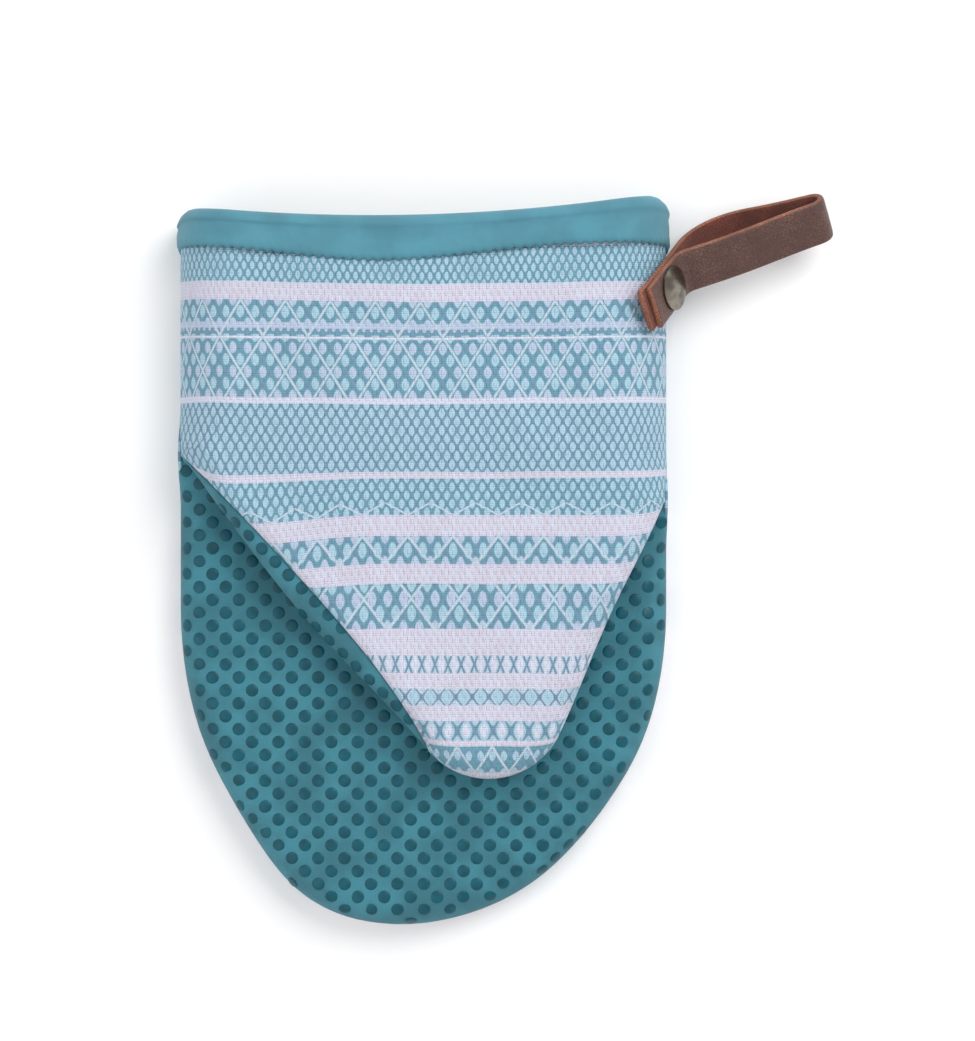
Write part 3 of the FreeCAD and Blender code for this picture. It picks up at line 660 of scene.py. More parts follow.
@dataclass(frozen=True)
class Jacquard(Finish):
    """The patterned cloth of the front and the back: woven bands of small diamonds."""

    rows: Tuple[MotifRow, ...] = (
        MotifRow(90.0, 79.6, 2.3, 0.0, 4.4, 79.6, PALE, PALE, SLATE, TEAL, 0.3, 0.75),
        MotifRow(74.5, 47.2, 4.17, -0.42, 6.7, 74.5, PALE, LAVENDER, TEAL, SLATE, 0.34, 0.95),
        MotifRow.plain(68.3, 66.6, LAVENDER),
        MotifRow(66.6, 64.9, 2.1, -0.4, 3.4, 66.6, TEAL, LAVENDER, SLATE, SLATE, 0.3, 0.8),
        MotifRow.plain(64.4, 63.7, WHITE),
        MotifRow.outlines(74.5, 47.2, 12.5, -0.42, 20.06, 74.5, 0.13, 0.06),
        MotifRow.plain(47.2, 45.5, WHITE),
        MotifRow(45.5, 26.4, 2.8, 0.0, 4.8, 45.3, PALE, PALE, SLATE, SLATE, 0.3, 0.62),
        MotifRow(24.5, 14.1, 2.8, 0.0, 4.8, 24.5, PALE, PALE, TEAL, SLATE, 0.3, 0.75),
        MotifRow.outlines(17.6, 14.1, 12.6, 2.4, 7.0, 17.6, 0.16, 0.08),
        MotifRow(8.2, 0.3, 4.2, -3.9, 7.9, 8.2, PALE, LAVENDER, TEAL, SLATE, 0.32, 0.8),
        MotifRow.outlines(8.2, 0.3, 12.6, -3.9, 15.8, 8.2, 0.16, 0.08),
        MotifRow(-5.3, -18.0, 4.4, -2.87, 8.4, -9.6, PALE, LAVENDER, TEAL, SLATE, 0.32, 0.8),
        MotifRow.outlines(-5.3, -18.0, 13.2, -2.87, 18.0, -9.6, 0.14, 0.07),
        MotifRow(-25.6, -30.4, 3.65, 0.0, 9.6, -28.0, MIST, WHITE, MIST, SLATE, 0.34, 0.8, straight=True,
                 soft=0.2),
        MotifRow(-34.9, -39.6, 4.67, 0.0, 6.4, -37.2, MIST, PALE, MIST, SLATE, 0.34, 0.7,
                 soft=0.2),
        MotifRow(-44.1, -49.5, 4.95, 0.0, 9.0, -46.8, MIST, WHITE, PALE, SLATE, 0.42, 1.2,
                 soft=0.2),
        MotifRow(-51.2, -59.6, 3.27, 0.0, 5.6, -51.2, PALE, TEAL, SLATE, TEAL, 0.2, 0.8),
        MotifRow.outlines(-51.2, -59.6, 9.8, 0.0, 16.8, -51.2, 0.16, 0.08),
        MotifRow(-64.0, -71.9, 4.2, -3.9, 7.9, -64.0, PALE, LAVENDER, TEAL, SLATE, 0.32, 0.8),
        MotifRow.outlines(-64.0, -71.9, 12.6, -3.9, 15.8, -64.0, 0.16, 0.08),
        MotifRow(-77.5, -96.7, 2.8, 0.0, 4.8, -77.5, PALE, PALE, SLATE, SLATE, 0.3, 0.62),
    )
    half_cloth: float = 69.0
    sag: Point = (0.017, -0.1)
    droop: float = 2.6
    wobble: float = 0.8
    rib_pitch: float = 0.62
    warp_pitch: float = 0.5
    quilt_pitch: float = 2.1
    quilt_slope: float = 0.6

    def build(self) -> Material:
        """Lay out the rows over the pale ground, then the threads.

        Returns:
            The material.
        """
        nodes = self.begin()
        across, along = nodes.cloth()
        wobble = nodes.noise(nodes.place(), 45.0, 2.0)
        middle = nodes.math("MULTIPLY", across, 1 / self.half_cloth)
        middle = nodes.math("SUBTRACT", 1.0, nodes.math("MULTIPLY", middle, middle))
        sag = nodes.math("MULTIPLY", middle, nodes.math("MULTIPLY_ADD", along, *self.sag))
        along = nodes.math("ADD", along, sag)
        droop = nodes.math("MULTIPLY", nodes.ramp(across, -12.0, -52.0), nodes.ramp(along, 36.0, 12.0))
        along = nodes.math("MULTIPLY_ADD", droop, self.droop, along)
        along = nodes.math("ADD", along, nodes.math("MULTIPLY_ADD", wobble, self.wobble, -self.wobble / 2))
        stretch = nodes.put("ShaderNodeCombineXYZ")
        nodes.feed(stretch.inputs[0], across)
        nodes.feed(stretch.inputs[1], nodes.math("MULTIPLY", along, 0.12))
        streak = nodes.ramp(nodes.noise(stretch.outputs[0], 1.6, 2.0), 0.35, 0.65)
        colour = nodes.mix(streak, linear(PINK), linear(self.colour))
        for row in self.rows:
            colour = row.draw(nodes, across, along, colour)
        rib = nodes.wave(along, self.rib_pitch)
        warp = nodes.wave(across, self.warp_pitch)
        weave = nodes.math("MULTIPLY_ADD", rib, 0.6, nodes.math("MULTIPLY", warp, 0.4))
        rising, falling = [nodes.wave(nodes.math("MULTIPLY_ADD", along, slope, across), self.quilt_pitch)
                           for slope in (self.quilt_slope, -self.quilt_slope)]
        nodes.bump(nodes.math("MULTIPLY", rising, falling), 0.8, 0.0004)
        fibres = nodes.noise(nodes.place(), 2200.0, 2.0)
        shadow = nodes.math("MULTIPLY_ADD", nodes.ramp(weave, 0.1, 0.5), 0.16, 0.84)
        patches = nodes.math("MULTIPLY_ADD", nodes.noise(nodes.place(), 60.0), 0.16, 0.92)
        dim = nodes.math("MULTIPLY", shadow, patches)
        dim = nodes.math("MULTIPLY", dim, nodes.math("MULTIPLY_ADD", fibres, 0.16, 0.92))
        whole = nodes.put("ShaderNodeVectorMath", operation="SCALE")
        nodes.feed(whole.inputs[0], colour)
        nodes.feed(whole.inputs["Scale"], dim)
        nodes.set("Base Color", whole.outputs[0])
        nodes.bump(nodes.math("MULTIPLY_ADD", fibres, 0.35, weave), 0.7, 0.00022)
        return nodes.material


@dataclass(frozen=True)
class Rubber(Finish):
    """The raised grip dots: smooth, slightly cloudy silicone."""

    def build(self) -> Material:
        """Lay out the silicone.

        Returns:
            The material.
        """
        nodes = self.begin()
        nodes.set("Specular IOR Level", 0.28)
        patches = nodes.ramp(nodes.noise(nodes.place(), 320.0), 0.3, 0.7)
        nodes.set("Base Color", nodes.mix(patches, self.shade(0.9), self.shade(1.1)))
        fine = nodes.noise(nodes.place(), 1800.0, 2.0)
        nodes.set("Roughness", nodes.math("MULTIPLY_ADD", fine, 0.16, self.roughness))
        nodes.bump(fine, 0.25, 0.0001)
        return nodes.material


@dataclass(frozen=True)
class Leather(Finish):
    """Strap leather: a grained face, a raw edge or a fuzzy flesh side."""

    grain: float = 900.0
    depth: float = 0.0002
    contrast: float = 0.16

    def build(self) -> Material:
        """Lay out the grain.

        Returns:
            The material.
        """
        nodes = self.begin()
        nodes.set("Specular IOR Level", 0.35)
        cells = nodes.put("ShaderNodeTexVoronoi", feature="DISTANCE_TO_EDGE")
        nodes.feed(cells.inputs["Vector"], nodes.place())
        cells.inputs["Scale"].default_value = self.grain
        crease = nodes.ramp(cells.outputs["Distance"], 0.0, 0.22)
        patches = nodes.ramp(nodes.noise(nodes.place(), 160.0), 0.3, 0.72)
        tone = nodes.mix(patches, self.shade(1.0 - self.contrast), self.shade(1.0 + self.contrast))
        nodes.set("Base Color", nodes.mix(crease, self.shade(0.8), tone))
        nodes.bump(crease, 0.5, self.depth)
        return nodes.material


@dataclass(frozen=True)
class Metal(Finish):
    """Aged brass in uneven patches, lighter and glossier where it is rubbed."""

    worn: Colour = (140, 132, 120)
    rubbed: float = 0.16

    def build(self) -> Material:
        """Lay out the tarnish.

        Returns:
            The material.
        """
        nodes = self.begin()
        nodes.set("Metallic", 1.0)
        stain = nodes.ramp(nodes.noise(nodes.place(), 240.0, 4.0), 0.32, 0.68)
        nodes.set("Base Color", nodes.mix(stain, self.shade(1.0), linear(self.worn)))
        nodes.set("Roughness", nodes.math("MULTIPLY_ADD", stain, -self.rubbed, self.roughness))
        nodes.bump(nodes.noise(nodes.place(), 1500.0, 3.0), 0.35, 0.0001)
        return nodes.material


@dataclass
class Finishes:
    """All the finishes of the mitt, each made into a material once."""

    jacquard: Jacquard = field(default_factory=lambda: Jacquard("patterned_cloth", WHITE, 0.85, 0.08))
    grip: Woven = field(default_factory=lambda: Woven("grip_cloth", (60, 124, 139), 0.9, 0.06))
    cuff: Woven = field(default_factory=lambda: Woven(
        "cuff_cloth", (74, 138, 156), 0.7, 0.12, 0.45, 0.00012, 0.05))
    lining: Woven = field(default_factory=lambda: Woven("lining_cloth", (205, 204, 198)))
    wadding: Woven = field(default_factory=lambda: Woven("wadding_felt", (222, 220, 212), 0.95, 0.3, 1.4))
    dots: Rubber = field(default_factory=lambda: Rubber("grip_silicone", (6, 78, 92), 0.3, 0.0))
    face: Leather = field(default_factory=lambda: Leather(
        "leather_face", (96, 68, 62), 0.46, 0.02, 1100.0, 0.00012, 0.1))
    edge: Leather = field(default_factory=lambda: Leather(
        "leather_edge", (150, 96, 74), 0.75, 0.05, 1400.0))
    flesh: Leather = field(default_factory=lambda: Leather(
        "leather_flesh", (112, 62, 52), 0.9, 0.1, 1600.0))
    brass: Metal = field(default_factory=lambda: Metal("antique_brass", (96, 92, 84), 0.36, 0.0))
    made: Dict[str, Material] = field(default_factory=dict)

    def get(self, key: str) -> Material:
        """The material of a finish, made when it is first asked for."""
        if key not in self.made:
            self.made[key] = getattr(self, key).build()
        return self.made[key]


# -------------------------------------------------------------------- panels


@dataclass
class Layer:
    """One layer of a padded panel, from the outside in."""

    suffix: str
    finish: str
    slot: str
    inset: float
    thick: float
    coarse: float
    is_sheet: bool = True


COVER = Layer("cover", "jacquard", "jacquard", 0.0, 0.9, 1.0)
GRIP = Layer("grip", "grip", "grip_cloth", 0.0, 0.9, 1.0)
WADDING = Layer("wadding", "wadding", "wadding", 1.15, 2.2, 0.5, False)
LINING = Layer("lining", "lining", "lining", 3.6, 0.7, 0.5)
THIN_WADDING = Layer("wadding", "wadding", "wadding", 1.1, 1.5, 0.5, False)
THIN_LINING = Layer("lining", "lining", "lining", 2.9, 0.6, 0.5)


def dense(line: Array, step: float = 0.8) -> Array:
    """The same line with its points close together."""
    length = np.linalg.norm(np.diff(line, axis=0), axis=1).sum()
    return walk(line)(np.linspace(0.0, 1.0, max(int(length / step), 8)))


def finish_mesh(mesh_tool: Shell, name: str, materials: Sequence[Material]) -> Piece:
    """Turn a bmesh into a smooth object at the origin.

    Args:
        mesh_tool: The shape; it is freed.
        name: The piece's name.
        materials: Its materials, in slot order.

    Returns:
        The object, in the scene.
    """
    mesh = bpy.data.meshes.new(name)
    for face in mesh_tool.faces:
        face.smooth = True
    mesh_tool.to_mesh(mesh)
    mesh_tool.free()
    for material in materials:
        mesh.materials.append(material)
    piece = bpy.data.objects.new(name, mesh)
    bpy.context.scene.collection.objects.link(piece)
    return piece


def moved_grid(columns: int, rows: int, form: Form) -> Shell:
    """A grid whose points are moved by a formula.

    Args:
        columns: Faces across.
        rows: Faces along.
        form: Takes each point's shares across and along, and gives its place in
            millimetres and its cloth coordinates.

    Returns:
        The moved grid, with the cloth coordinates as its UV map.
    """
    mesh_tool = bmesh.new()
    bmesh.ops.create_grid(mesh_tool, x_segments=columns, y_segments=rows, size=0.5)
    mesh_tool.verts.index_update()
    shares = np.array([vert.co[:2] for vert in mesh_tool.verts]) + 0.5
    places, flat = form(shares[:, 0], shares[:, 1])
    for vert, place in zip(mesh_tool.verts, places * MM):
        vert.co = place
    layer = mesh_tool.loops.layers.uv.new("Cloth")
    for face in mesh_tool.faces:
        for loop in face.loops:
            loop[layer].uv = flat[loop.vert.index]
    return mesh_tool


def thicken(shell: Shell, thickness: float) -> None:
    """Give an open surface an inner side and close its rims.

    Args:
        shell: The surface, with its normals outward.
        thickness: Millimetres of cloth, towards the inside.
    """
    shell.normal_update()
    outer = shell.verts[:] + shell.edges[:] + shell.faces[:]
    rims = rim_loops(shell)
    normals = {vert: vert.normal.copy() for vert in shell.verts}
    copied = bmesh.ops.duplicate(shell, geom=outer)
    for vert, normal in normals.items():
        copied["vert_map"][vert].co -= normal * (thickness * MM)
    inner = [item for item in copied["geom"] if isinstance(item, bmesh.types.BMFace)]
    bmesh.ops.reverse_faces(shell, faces=inner)
    for rim in rims:
        bmesh.ops.bridge_loops(shell, edges=rim + [copied["edge_map"][edge] for edge in rim])
    shell.normal_update()


def rim_loops(shell: Shell) -> List[List[bmesh.types.BMEdge]]:
    """The open edges of a surface, one list for each closed loop.

    Args:
        shell: The surface.

    Returns:
        The loops.
    """
    left = {edge for edge in shell.edges if edge.is_boundary}
    loops = []
    while left:
        loop = [left.pop()]
        ends = list(loop[0].verts)
        while ends:
            for edge in ends.pop().link_edges:
                if edge in left:
                    left.remove(edge)
                    loop.append(edge)
                    ends.extend(edge.verts)
        loops.append(loop)
    return loops


@dataclass(frozen=True)
class Feel:
    """How sewn and padded cloth puckers and swells, in millimetres, and how its grid lies."""

    pucker: float = 0.16
    pucker_pitch: float = 5.2
    pucker_reach: float = 3.0
    swell: float = 0.55
    swell_size: float = 26.0
    fine_swell: float = 0.2
    fine_size: float = 9.0
    settle: float = 0.4
    settle_reach: float = 12.0
    wrap: float = 0.45
    even_part: float = 0.55
    crowded_part: float = 0.45
    fold_pinch: float = 0.035
    fold_reach: float = 9.0

    def crowd(self, share: Array) -> Array:
        """Shares from 0 to 1, drawn closer together at both ends."""
        return self.even_part * share + self.crowded_part * (0.5 - 0.5 * np.cos(math.pi * share))


@dataclass
class Panel:
    """One padded panel over a plan outline, sewn down along its seam."""

    name: str
    body: Body
    facing: Facing
    left: Array
    end: Array
    right: Array
    far: Array
    foot: Callable[[Array], Array]
    rounding: Callable[[Array], Array]
    top: Callable[[Array], Array]
    layers: Tuple[Layer, ...]
    replaces: Tuple[str, ...]
    flat: Tuple[float, float]
    columns: int = 150
    rows: int = 170
    closed_far: bool = False
    least_fill: float = 0.32
    blended: bool = False
    seed: float = 0.0
    feel: Feel = field(default_factory=Feel)

    def seam(self) -> Seam:
        """The sewn line: left side, round end and right side.

        Returns:
            The seam, with its heights and rounding.
        """
        parts = [self.left, self.end[1:-1], self.right[::-1]]
        if self.closed_far:
            parts.append(self.far[::-1][1:-1])
        line = dense(np.concatenate(parts), 0.5)
        return Seam(line, self.foot(line), self.rounding(line))

    def surface(self, seam: Seam, inset: float, points: Array) -> Tuple[Array, Array]:
        """Heights over the plan, and the cloth's flat coordinates.

        Args:
            seam: The layer's seam.
            inset: How deep the layer lies under the cover.
            points: Plan points.

        Returns:
            The heights and the flat coordinates.
        """
        far, index = seam.nearest(points)
        foot = seam.foot[index]
        side = self.facing.value
        feel = self.feel
        crown = self.top(points) - side * inset
        foot = np.where(side * (crown - foot) < 1.0, crown - side, foot)
        share = dome(far / np.maximum(seam.rounding[index], 0.5))
        height = foot + (crown - foot) * share
        run = seam.run()[index]
        reach = feel.pucker_reach
        ripple = np.sin(2 * math.pi * run / feel.pucker_pitch)
        pucker = feel.pucker * ripple * np.exp(-((far - reach) / reach) ** 2)
        swell = feel.swell * cloud(points, feel.swell_size, self.seed)
        swell = swell + feel.fine_swell * cloud(points, feel.fine_size, self.seed + 7.0)
        swell = (swell - feel.settle) * np.clip(far / feel.settle_reach, 0.0, 1.0)
        height += side * (pucker * (inset == 0.0) + swell)
        flat = points + seam.outward()[index] * (feel.wrap * np.abs(crown - foot) * (1 - share))[:, None]
        return height, flat

    def build_layer(self, layer: Layer, finishes: Finishes) -> Piece:
        """Make one layer of the panel.

        Args:
            layer: Which layer.
            finishes: The materials.

        Returns:
            The piece.
        """
        feel = self.feel
        seam = self.seam().shrunk(layer.inset)
        count = [len(dense(part)) for part in (self.left, self.end, self.right)]
        lines = [Seam(dense(part), np.zeros(n), np.zeros(n)) for part, n in
                 zip((self.left, self.end, self.right[::-1]), count)]
        left, end, right = [line.shrunk(layer.inset).line for line in lines]
        left[-1] = end[0] = (left[-1] + end[0]) / 2
        right[0] = end[-1] = (right[0] + end[-1]) / 2
        far = self.far.copy()
        far[0] = left[0]
        far[-1] = right[-1]
        if self.closed_far:
            far = far + (end.mean(axis=0) - far.mean(axis=0)) / 120.0 * layer.inset
            far[0] = left[0]
            far[-1] = right[-1]
        sides = walk(left[::-1]), walk(right)
        ends = walk(end), walk(far)

        def form(across: Array, along: Array) -> Tuple[Array, Array]:
            """Place the grid over the plan, close-set near the seams.

            Args:
                across: Shares across the grid.
                along: Shares along the grid.

            Returns:
                The places and the cloth coordinates.
            """
            s, t = feel.crowd(across), feel.crowd(along)
            s1, t1 = s[:, None], t[:, None]
            plan = (1 - t1) * ends[0](s) + t1 * ends[1](s) + (1 - s1) * sides[0](t) + s1 * sides[1](t)
            plan -= (1 - s1) * ((1 - t1) * end[0] + t1 * far[0]) + s1 * ((1 - t1) * end[-1] + t1 * far[-1])
            plan = seam.kept_inside(plan)
            if layer.inset > 0:
                past = Plan().past_fold(plan)
                plan[:, 0] *= 1.0 - feel.fold_pinch * np.exp(-((past / feel.fold_reach) ** 2))
            height, flat = self.surface(seam, layer.inset, plan)
            return np.column_stack([plan, height]), flat

        columns = int(self.columns * layer.coarse)
        rows = int(self.rows * layer.coarse)
        shell = moved_grid(columns, rows, form)
        if self.facing is Facing.DOWN:
            bmesh.ops.reverse_faces(shell, faces=shell.faces[:])
        thicken(shell, layer.thick)
        return finish_mesh(shell, f"{self.name}_{layer.suffix}_cloth", [finishes.get(layer.finish)])

    def build(self, finishes: Finishes) -> List[Piece]:
        """Make every layer, and say what each rides on and replaces.

        Args:
            finishes: The materials.

        Returns:
            The pieces.
        """
        made = []
        for layer in self.layers:
            piece = self.build_layer(layer, finishes)
            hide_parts(*[f"{node}_{layer.suffix}" for node in self.replaces])
            if self.blended:
                hinge_ride(piece)
            else:
                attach(piece, self.body.value)
            LOG.info("made %s", piece.name)
            made.append(piece)
        return made


def hinge_ride(piece: Piece) -> None:
    """Bake the piece's transform into its mesh; it is attached to no body.

    Args:
        piece: The piece.
    """
    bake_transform(piece)


@dataclass
class Pattern:
    """Cuts the four panels from the plan."""

    plan: Plan = field(default_factory=Plan)
    seam_height: float = 7.5
    fold_height: float = 15.3
    thumb_seam: float = 22.7
    roll_seam: float = 27.6
    front_top: float = 29.6
    palm_top: float = 15.0
    thumb_low: float = 16.1
    ease: float = 15.0
    thumb_ease: float = 14.0
    mouth_inset: float = 8.0
    at_fold: float = -0.4

    def thumb_edge(self, past: Array) -> Array:
        """The height of the thumb's edge, this far past the fold."""
        climb = self.thumb_seam - self.fold_height
        return self.fold_height + climb * smoothstep(0.0, self.thumb_ease, past)

    def mouth(self, inset: float) -> Array:
        """The cuff edge from left to right, this far down from the top.

        Args:
            inset: Millimetres down from the edge.

        Returns:
            The line.
        """
        half = self.plan.half_width
        line = self.plan.cuff_point(np.linspace(-half, half, 60))
        line[:, 1] -= inset
        return line

    def sides_down(self, top: Array, low_y: Tuple[float, float]) -> Tuple[Array, Array]:
        """The hand's straight sides from the cuff down to two heights.

        Args:
            top: The mouth line that the sides start from.
            low_y: Where the left and the right side end.

        Returns:
            The left and the right side.
        """
        half = self.plan.half_width
        sides = []
        for sign, corner, low in ((-1, top[0], low_y[0]), (1, top[-1], low_y[1])):
            y = np.linspace(corner[1], low, 40)
            x = sign * (half - 0.9 * smoothstep(10.0, 0.0, y - low))
            sides.append(np.stack([x, y], axis=-1))
        return sides[0], sides[1]

    def low_foot(self, line: Array) -> Array:
        """The height of the side seam, which climbs to the fold at the thumb's corners.

        Args:
            line: Points along a line.

        Returns:
            The heights.
        """
        past = np.abs(self.plan.past_fold(line))
        climb = (self.fold_height - self.seam_height) * (1.0 - smoothstep(0.0, self.ease, past))
        near = np.abs(line[:, 0]) > 45.0
        return self.seam_height + climb * near

    def back(self) -> Panel:
        """The back of the mitt, lying on the table.

        Returns:
            The panel.
        """
        half = self.plan.half_width
        far = self.mouth(self.mouth_inset)
        left, end, right = self.plan.finger_sides(far[0], far[-1])

        def top(points: Array) -> Array:
            """Flat on the table, lifted where the binding goes under it."""
            return 0.15 + 1.0 * smoothstep(82.0, 89.0, points[:, 1])

        return Panel("back", Body.HAND, Facing.DOWN, left, end, right, far, self.low_foot,
                     lambda line: np.full(len(line), 7.0), top, (COVER, WADDING, LINING),
                     ("back",), (2 * half + 10, 212.0), seed=3.0)

    def finger_palm(self) -> Panel:
        """The grip cloth over the fingers, under the thumb.

        Returns:
            The panel.
        """
        far = self.plan.fold_point(np.linspace(-self.plan.half_width, self.plan.half_width, 60))
        left, end, right = self.plan.finger_sides(far[0], far[-1])

        def foot(line: Array) -> Array:
            """The side seam's height, and the fold's along the far edge."""
            past = self.plan.past_fold(line)
            return np.where(past > self.at_fold, self.fold_height, self.low_foot(line))

        def top(points: Array) -> Array:
            """Level, a little fuller in the middle of the fingers."""
            return self.palm_top - 0.3 + 0.5 * np.exp(-((points[:, 1] + 60) / 30) ** 2)

        return Panel("finger_palm", Body.HAND, Facing.UP, left, end, right, far, foot,
                     lambda line: np.where(self.plan.past_fold(line) > self.at_fold, 1.5, 8.5), top,
                     (GRIP, THIN_WADDING, THIN_LINING), ("finger_palm",),
                     (2 * self.plan.half_width + 10, 140.0), closed_far=True, seed=11.0)

    def thumb_palm(self) -> Panel:
        """The grip cloth under the thumb.

        Returns:
            The panel.
        """
        left, end, right = self.plan.thumb_sides()
        far = self.plan.fold_point(np.linspace(left[0, 0], right[0, 0], 60))

        def foot(line: Array) -> Array:
            """From the fold up to the thumb's edge."""
            return self.thumb_edge(-self.plan.past_fold(line))

        return Panel("thumb_palm", Body.THUMB, Facing.DOWN, left, end, right, far, foot,
                     lambda line: np.where(self.plan.past_fold(line) > self.at_fold, 1.0, 6.5),
                     lambda points: np.full(len(points), self.thumb_low),
                     (GRIP, THIN_WADDING, THIN_LINING), ("thumb_palm",), (146.0, 98.0),
                     columns=110, rows=110, closed_far=True, seed=17.0)

    def front(self) -> Panel:
        """The patterned front, from the cuff to the thumb's tip in one piece.

        Returns:
            The panel.
        """
        half = self.plan.half_width
        left_edge, tip, right_edge = self.plan.thumb_sides()
        seam, width = self.plan.rolled_seam(left_edge)
        far = self.mouth(self.mouth_inset)
        upper = self.sides_down(far, (left_edge[0, 1] + 0.8, right_edge[0, 1] + 0.8))
        left = np.concatenate([upper[0], seam])
        right = np.concatenate([upper[1], right_edge])

        def share_rolled(line: Array) -> Array:
            """How much of the roll lies outside this seam point.

            Args:
                line: Points along a line.

            Returns:
                Shares from 0 to 1.
            """
            gaps = np.linalg.norm(line[:, None, :] - seam[None, :, :], axis=2)
            near = gaps.min(axis=1) < 2.0
            return smoothstep(0.0, 4.0, width[gaps.argmin(axis=1)]) * near

        def foot(line: Array) -> Array:
            """The side seam, the fold's corners, the thumb's edge and the roll's seam.

            Args:
                line: Points along a line.

            Returns:
                The heights.
            """
            past = -self.plan.past_fold(line)
            thumb = self.thumb_edge(past)
            thumb = thumb + (self.roll_seam - thumb) * share_rolled(line)
            return np.where(past > 0, thumb, self.low_foot(line))

        def rounding(line: Array) -> Array:
            """Full at the hand's sides, tighter at the thumb.

            Args:
                line: Points along a line.

            Returns:
                The widths.
            """
            past = -self.plan.past_fold(line)
            round_all = 18.0 - 10.5 * smoothstep(-14.0, 16.0, past)
            return round_all + (3.6 - round_all) * share_rolled(line)

        def top(points: Array) -> Array:
            """Nearly level, with a shallow crease along the fold.

            Args:
                points: Plan points, N by 2.

            Returns:
                The heights.
            """
            past = self.plan.past_fold(points)
            dip = 1.1 * np.exp(-((past + 4.0) / 7.0) ** 2)
            under = 1.0 * smoothstep(84.0, 89.0, points[:, 1])
            return self.front_top - 0.4 * dip - under

        return Panel("front", Body.HAND, Facing.UP, left, tip, right, far, foot, rounding, top,
                     (COVER, WADDING, LINING), ("hand_front", "flex_front", "thumb_front"),
                     (2 * half + 12, 172.0), columns=170, rows=200, blended=True, seed=23.0)


@dataclass
class ThumbRoll:
    """The grip cloth that wraps over the thumb's left edge to the front's seam."""

    pattern: Pattern
    columns: int = 14
    rows: int = 150
    flat_width: float = 10.5
    thick: float = 0.9
    swell: float = 0.35

    def build(self, finishes: Finishes) -> Piece:
        """Make the roll from the edge up to the seam.

        Args:
            finishes: The materials.

        Returns:
            The piece.
        """
        plan = self.pattern.plan
        edge, _, _ = plan.thumb_sides()
        seam, width = plan.rolled_seam(edge)
        edge_at, seam_at = walk(edge), walk(seam)
        length = np.linalg.norm(np.diff(edge, axis=0), axis=1).sum()
        shares = np.linspace(0.0, 1.0, len(width))

        def form(across: Array, along: Array) -> Tuple[Array, Array]:
            """A quarter-round from the edge to the seam.

            Args:
                across: Shares across the grid.
                along: Shares along the grid.

            Returns:
                The places and the cloth coordinates.
            """
            edge_place, seam_place = edge_at(along), seam_at(along)
            wide = np.interp(along, shares, width)
            base = self.pattern.thumb_edge(-plan.past_fold(edge_place))
            peak = base + (self.pattern.roll_seam - base) * smoothstep(0.0, 4.0, wide)
            lean_in = 1.0 - np.cos(across * math.pi / 2)
            place = edge_place + (seam_place - edge_place) * lean_in[:, None]
            lift = base + (peak - base) * np.sin(across * math.pi / 2)
            swell = self.swell * cloud(place, 12.0, 31.0) * np.sin(across * math.pi)
            outside = -(seam_place - edge_place) / np.maximum(wide, 0.5)[:, None]
            place = place + outside * swell[:, None]
            flat = np.stack([across * 8.5, along * length], axis=-1)
            return np.column_stack([place, lift]), flat

        shell = moved_grid(self.columns, self.rows, form)
        bmesh.ops.remove_doubles(shell, verts=shell.verts[:], dist=0.00002)
        bmesh.ops.dissolve_degenerate(shell, edges=shell.edges[:], dist=0.00001)
        shell.normal_update()
        if sum((face.normal.z for face in shell.faces), 0.0) < 0:
            bmesh.ops.reverse_faces(shell, faces=shell.faces[:])
            shell.normal_update()
        thicken(shell, self.thick)
        piece = finish_mesh(shell, "thumb_edge_roll", [finishes.get("grip")])
        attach(piece, Body.THUMB.value)
        return piece


@dataclass
class FoldTuck:
    """The tucked seam where the finger palm turns back into the thumb palm."""

    pattern: Pattern
    radius: float = 1.1
    flare: float = 0.9
    half_length: float = 68.4
    flat_width: float = 10.2
    flare_from: float = 60.0
    flare_to: float = 67.5

    def build(self, finishes: Finishes) -> Piece:
        """Make a soft rounded tuck along the fold, thicker at both ends.

        Args:
            finishes: The materials.

        Returns:
            The piece.
        """
        plan = self.pattern.plan

        def form(around: Array, along: Array) -> Tuple[Array, Array]:
            """Wrap a circle along the fold line.

            Args:
                around: Shares around the grid.
                along: Shares along the grid.

            Returns:
                The places and the cloth coordinates.
            """
            x = (along * 2 - 1) * self.half_length
            turn = around * 2 * math.pi
            size = self.radius + self.flare * smoothstep(self.flare_from, self.flare_to, np.abs(x))
            size = size * dome((1.0 - np.abs(along * 2 - 1)) * 90.0) + 0.02
            middle = plan.fold_point(x)
            ahead = size * np.cos(turn)
            place = np.stack([middle[:, 0] + ahead * math.sin(plan.fold_slant),
                              middle[:, 1] + ahead * math.cos(plan.fold_slant),
                              self.pattern.fold_height + size * np.sin(turn)], axis=-1)
            return place, np.stack([around * 6.0, x], axis=-1)

        tuck = moved_grid(12, 120, form)
        bmesh.ops.remove_doubles(tuck, verts=tuck.verts[:], dist=0.000005)
        bmesh.ops.holes_fill(tuck, edges=[edge for edge in tuck.edges if edge.is_boundary], sides=0)
        bmesh.ops.recalc_face_normals(tuck, faces=tuck.faces[:])
        piece = finish_mesh(tuck, "thumb_fold_tuck", [finishes.get("grip")])
        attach(piece, Body.HAND.value)
        return piece


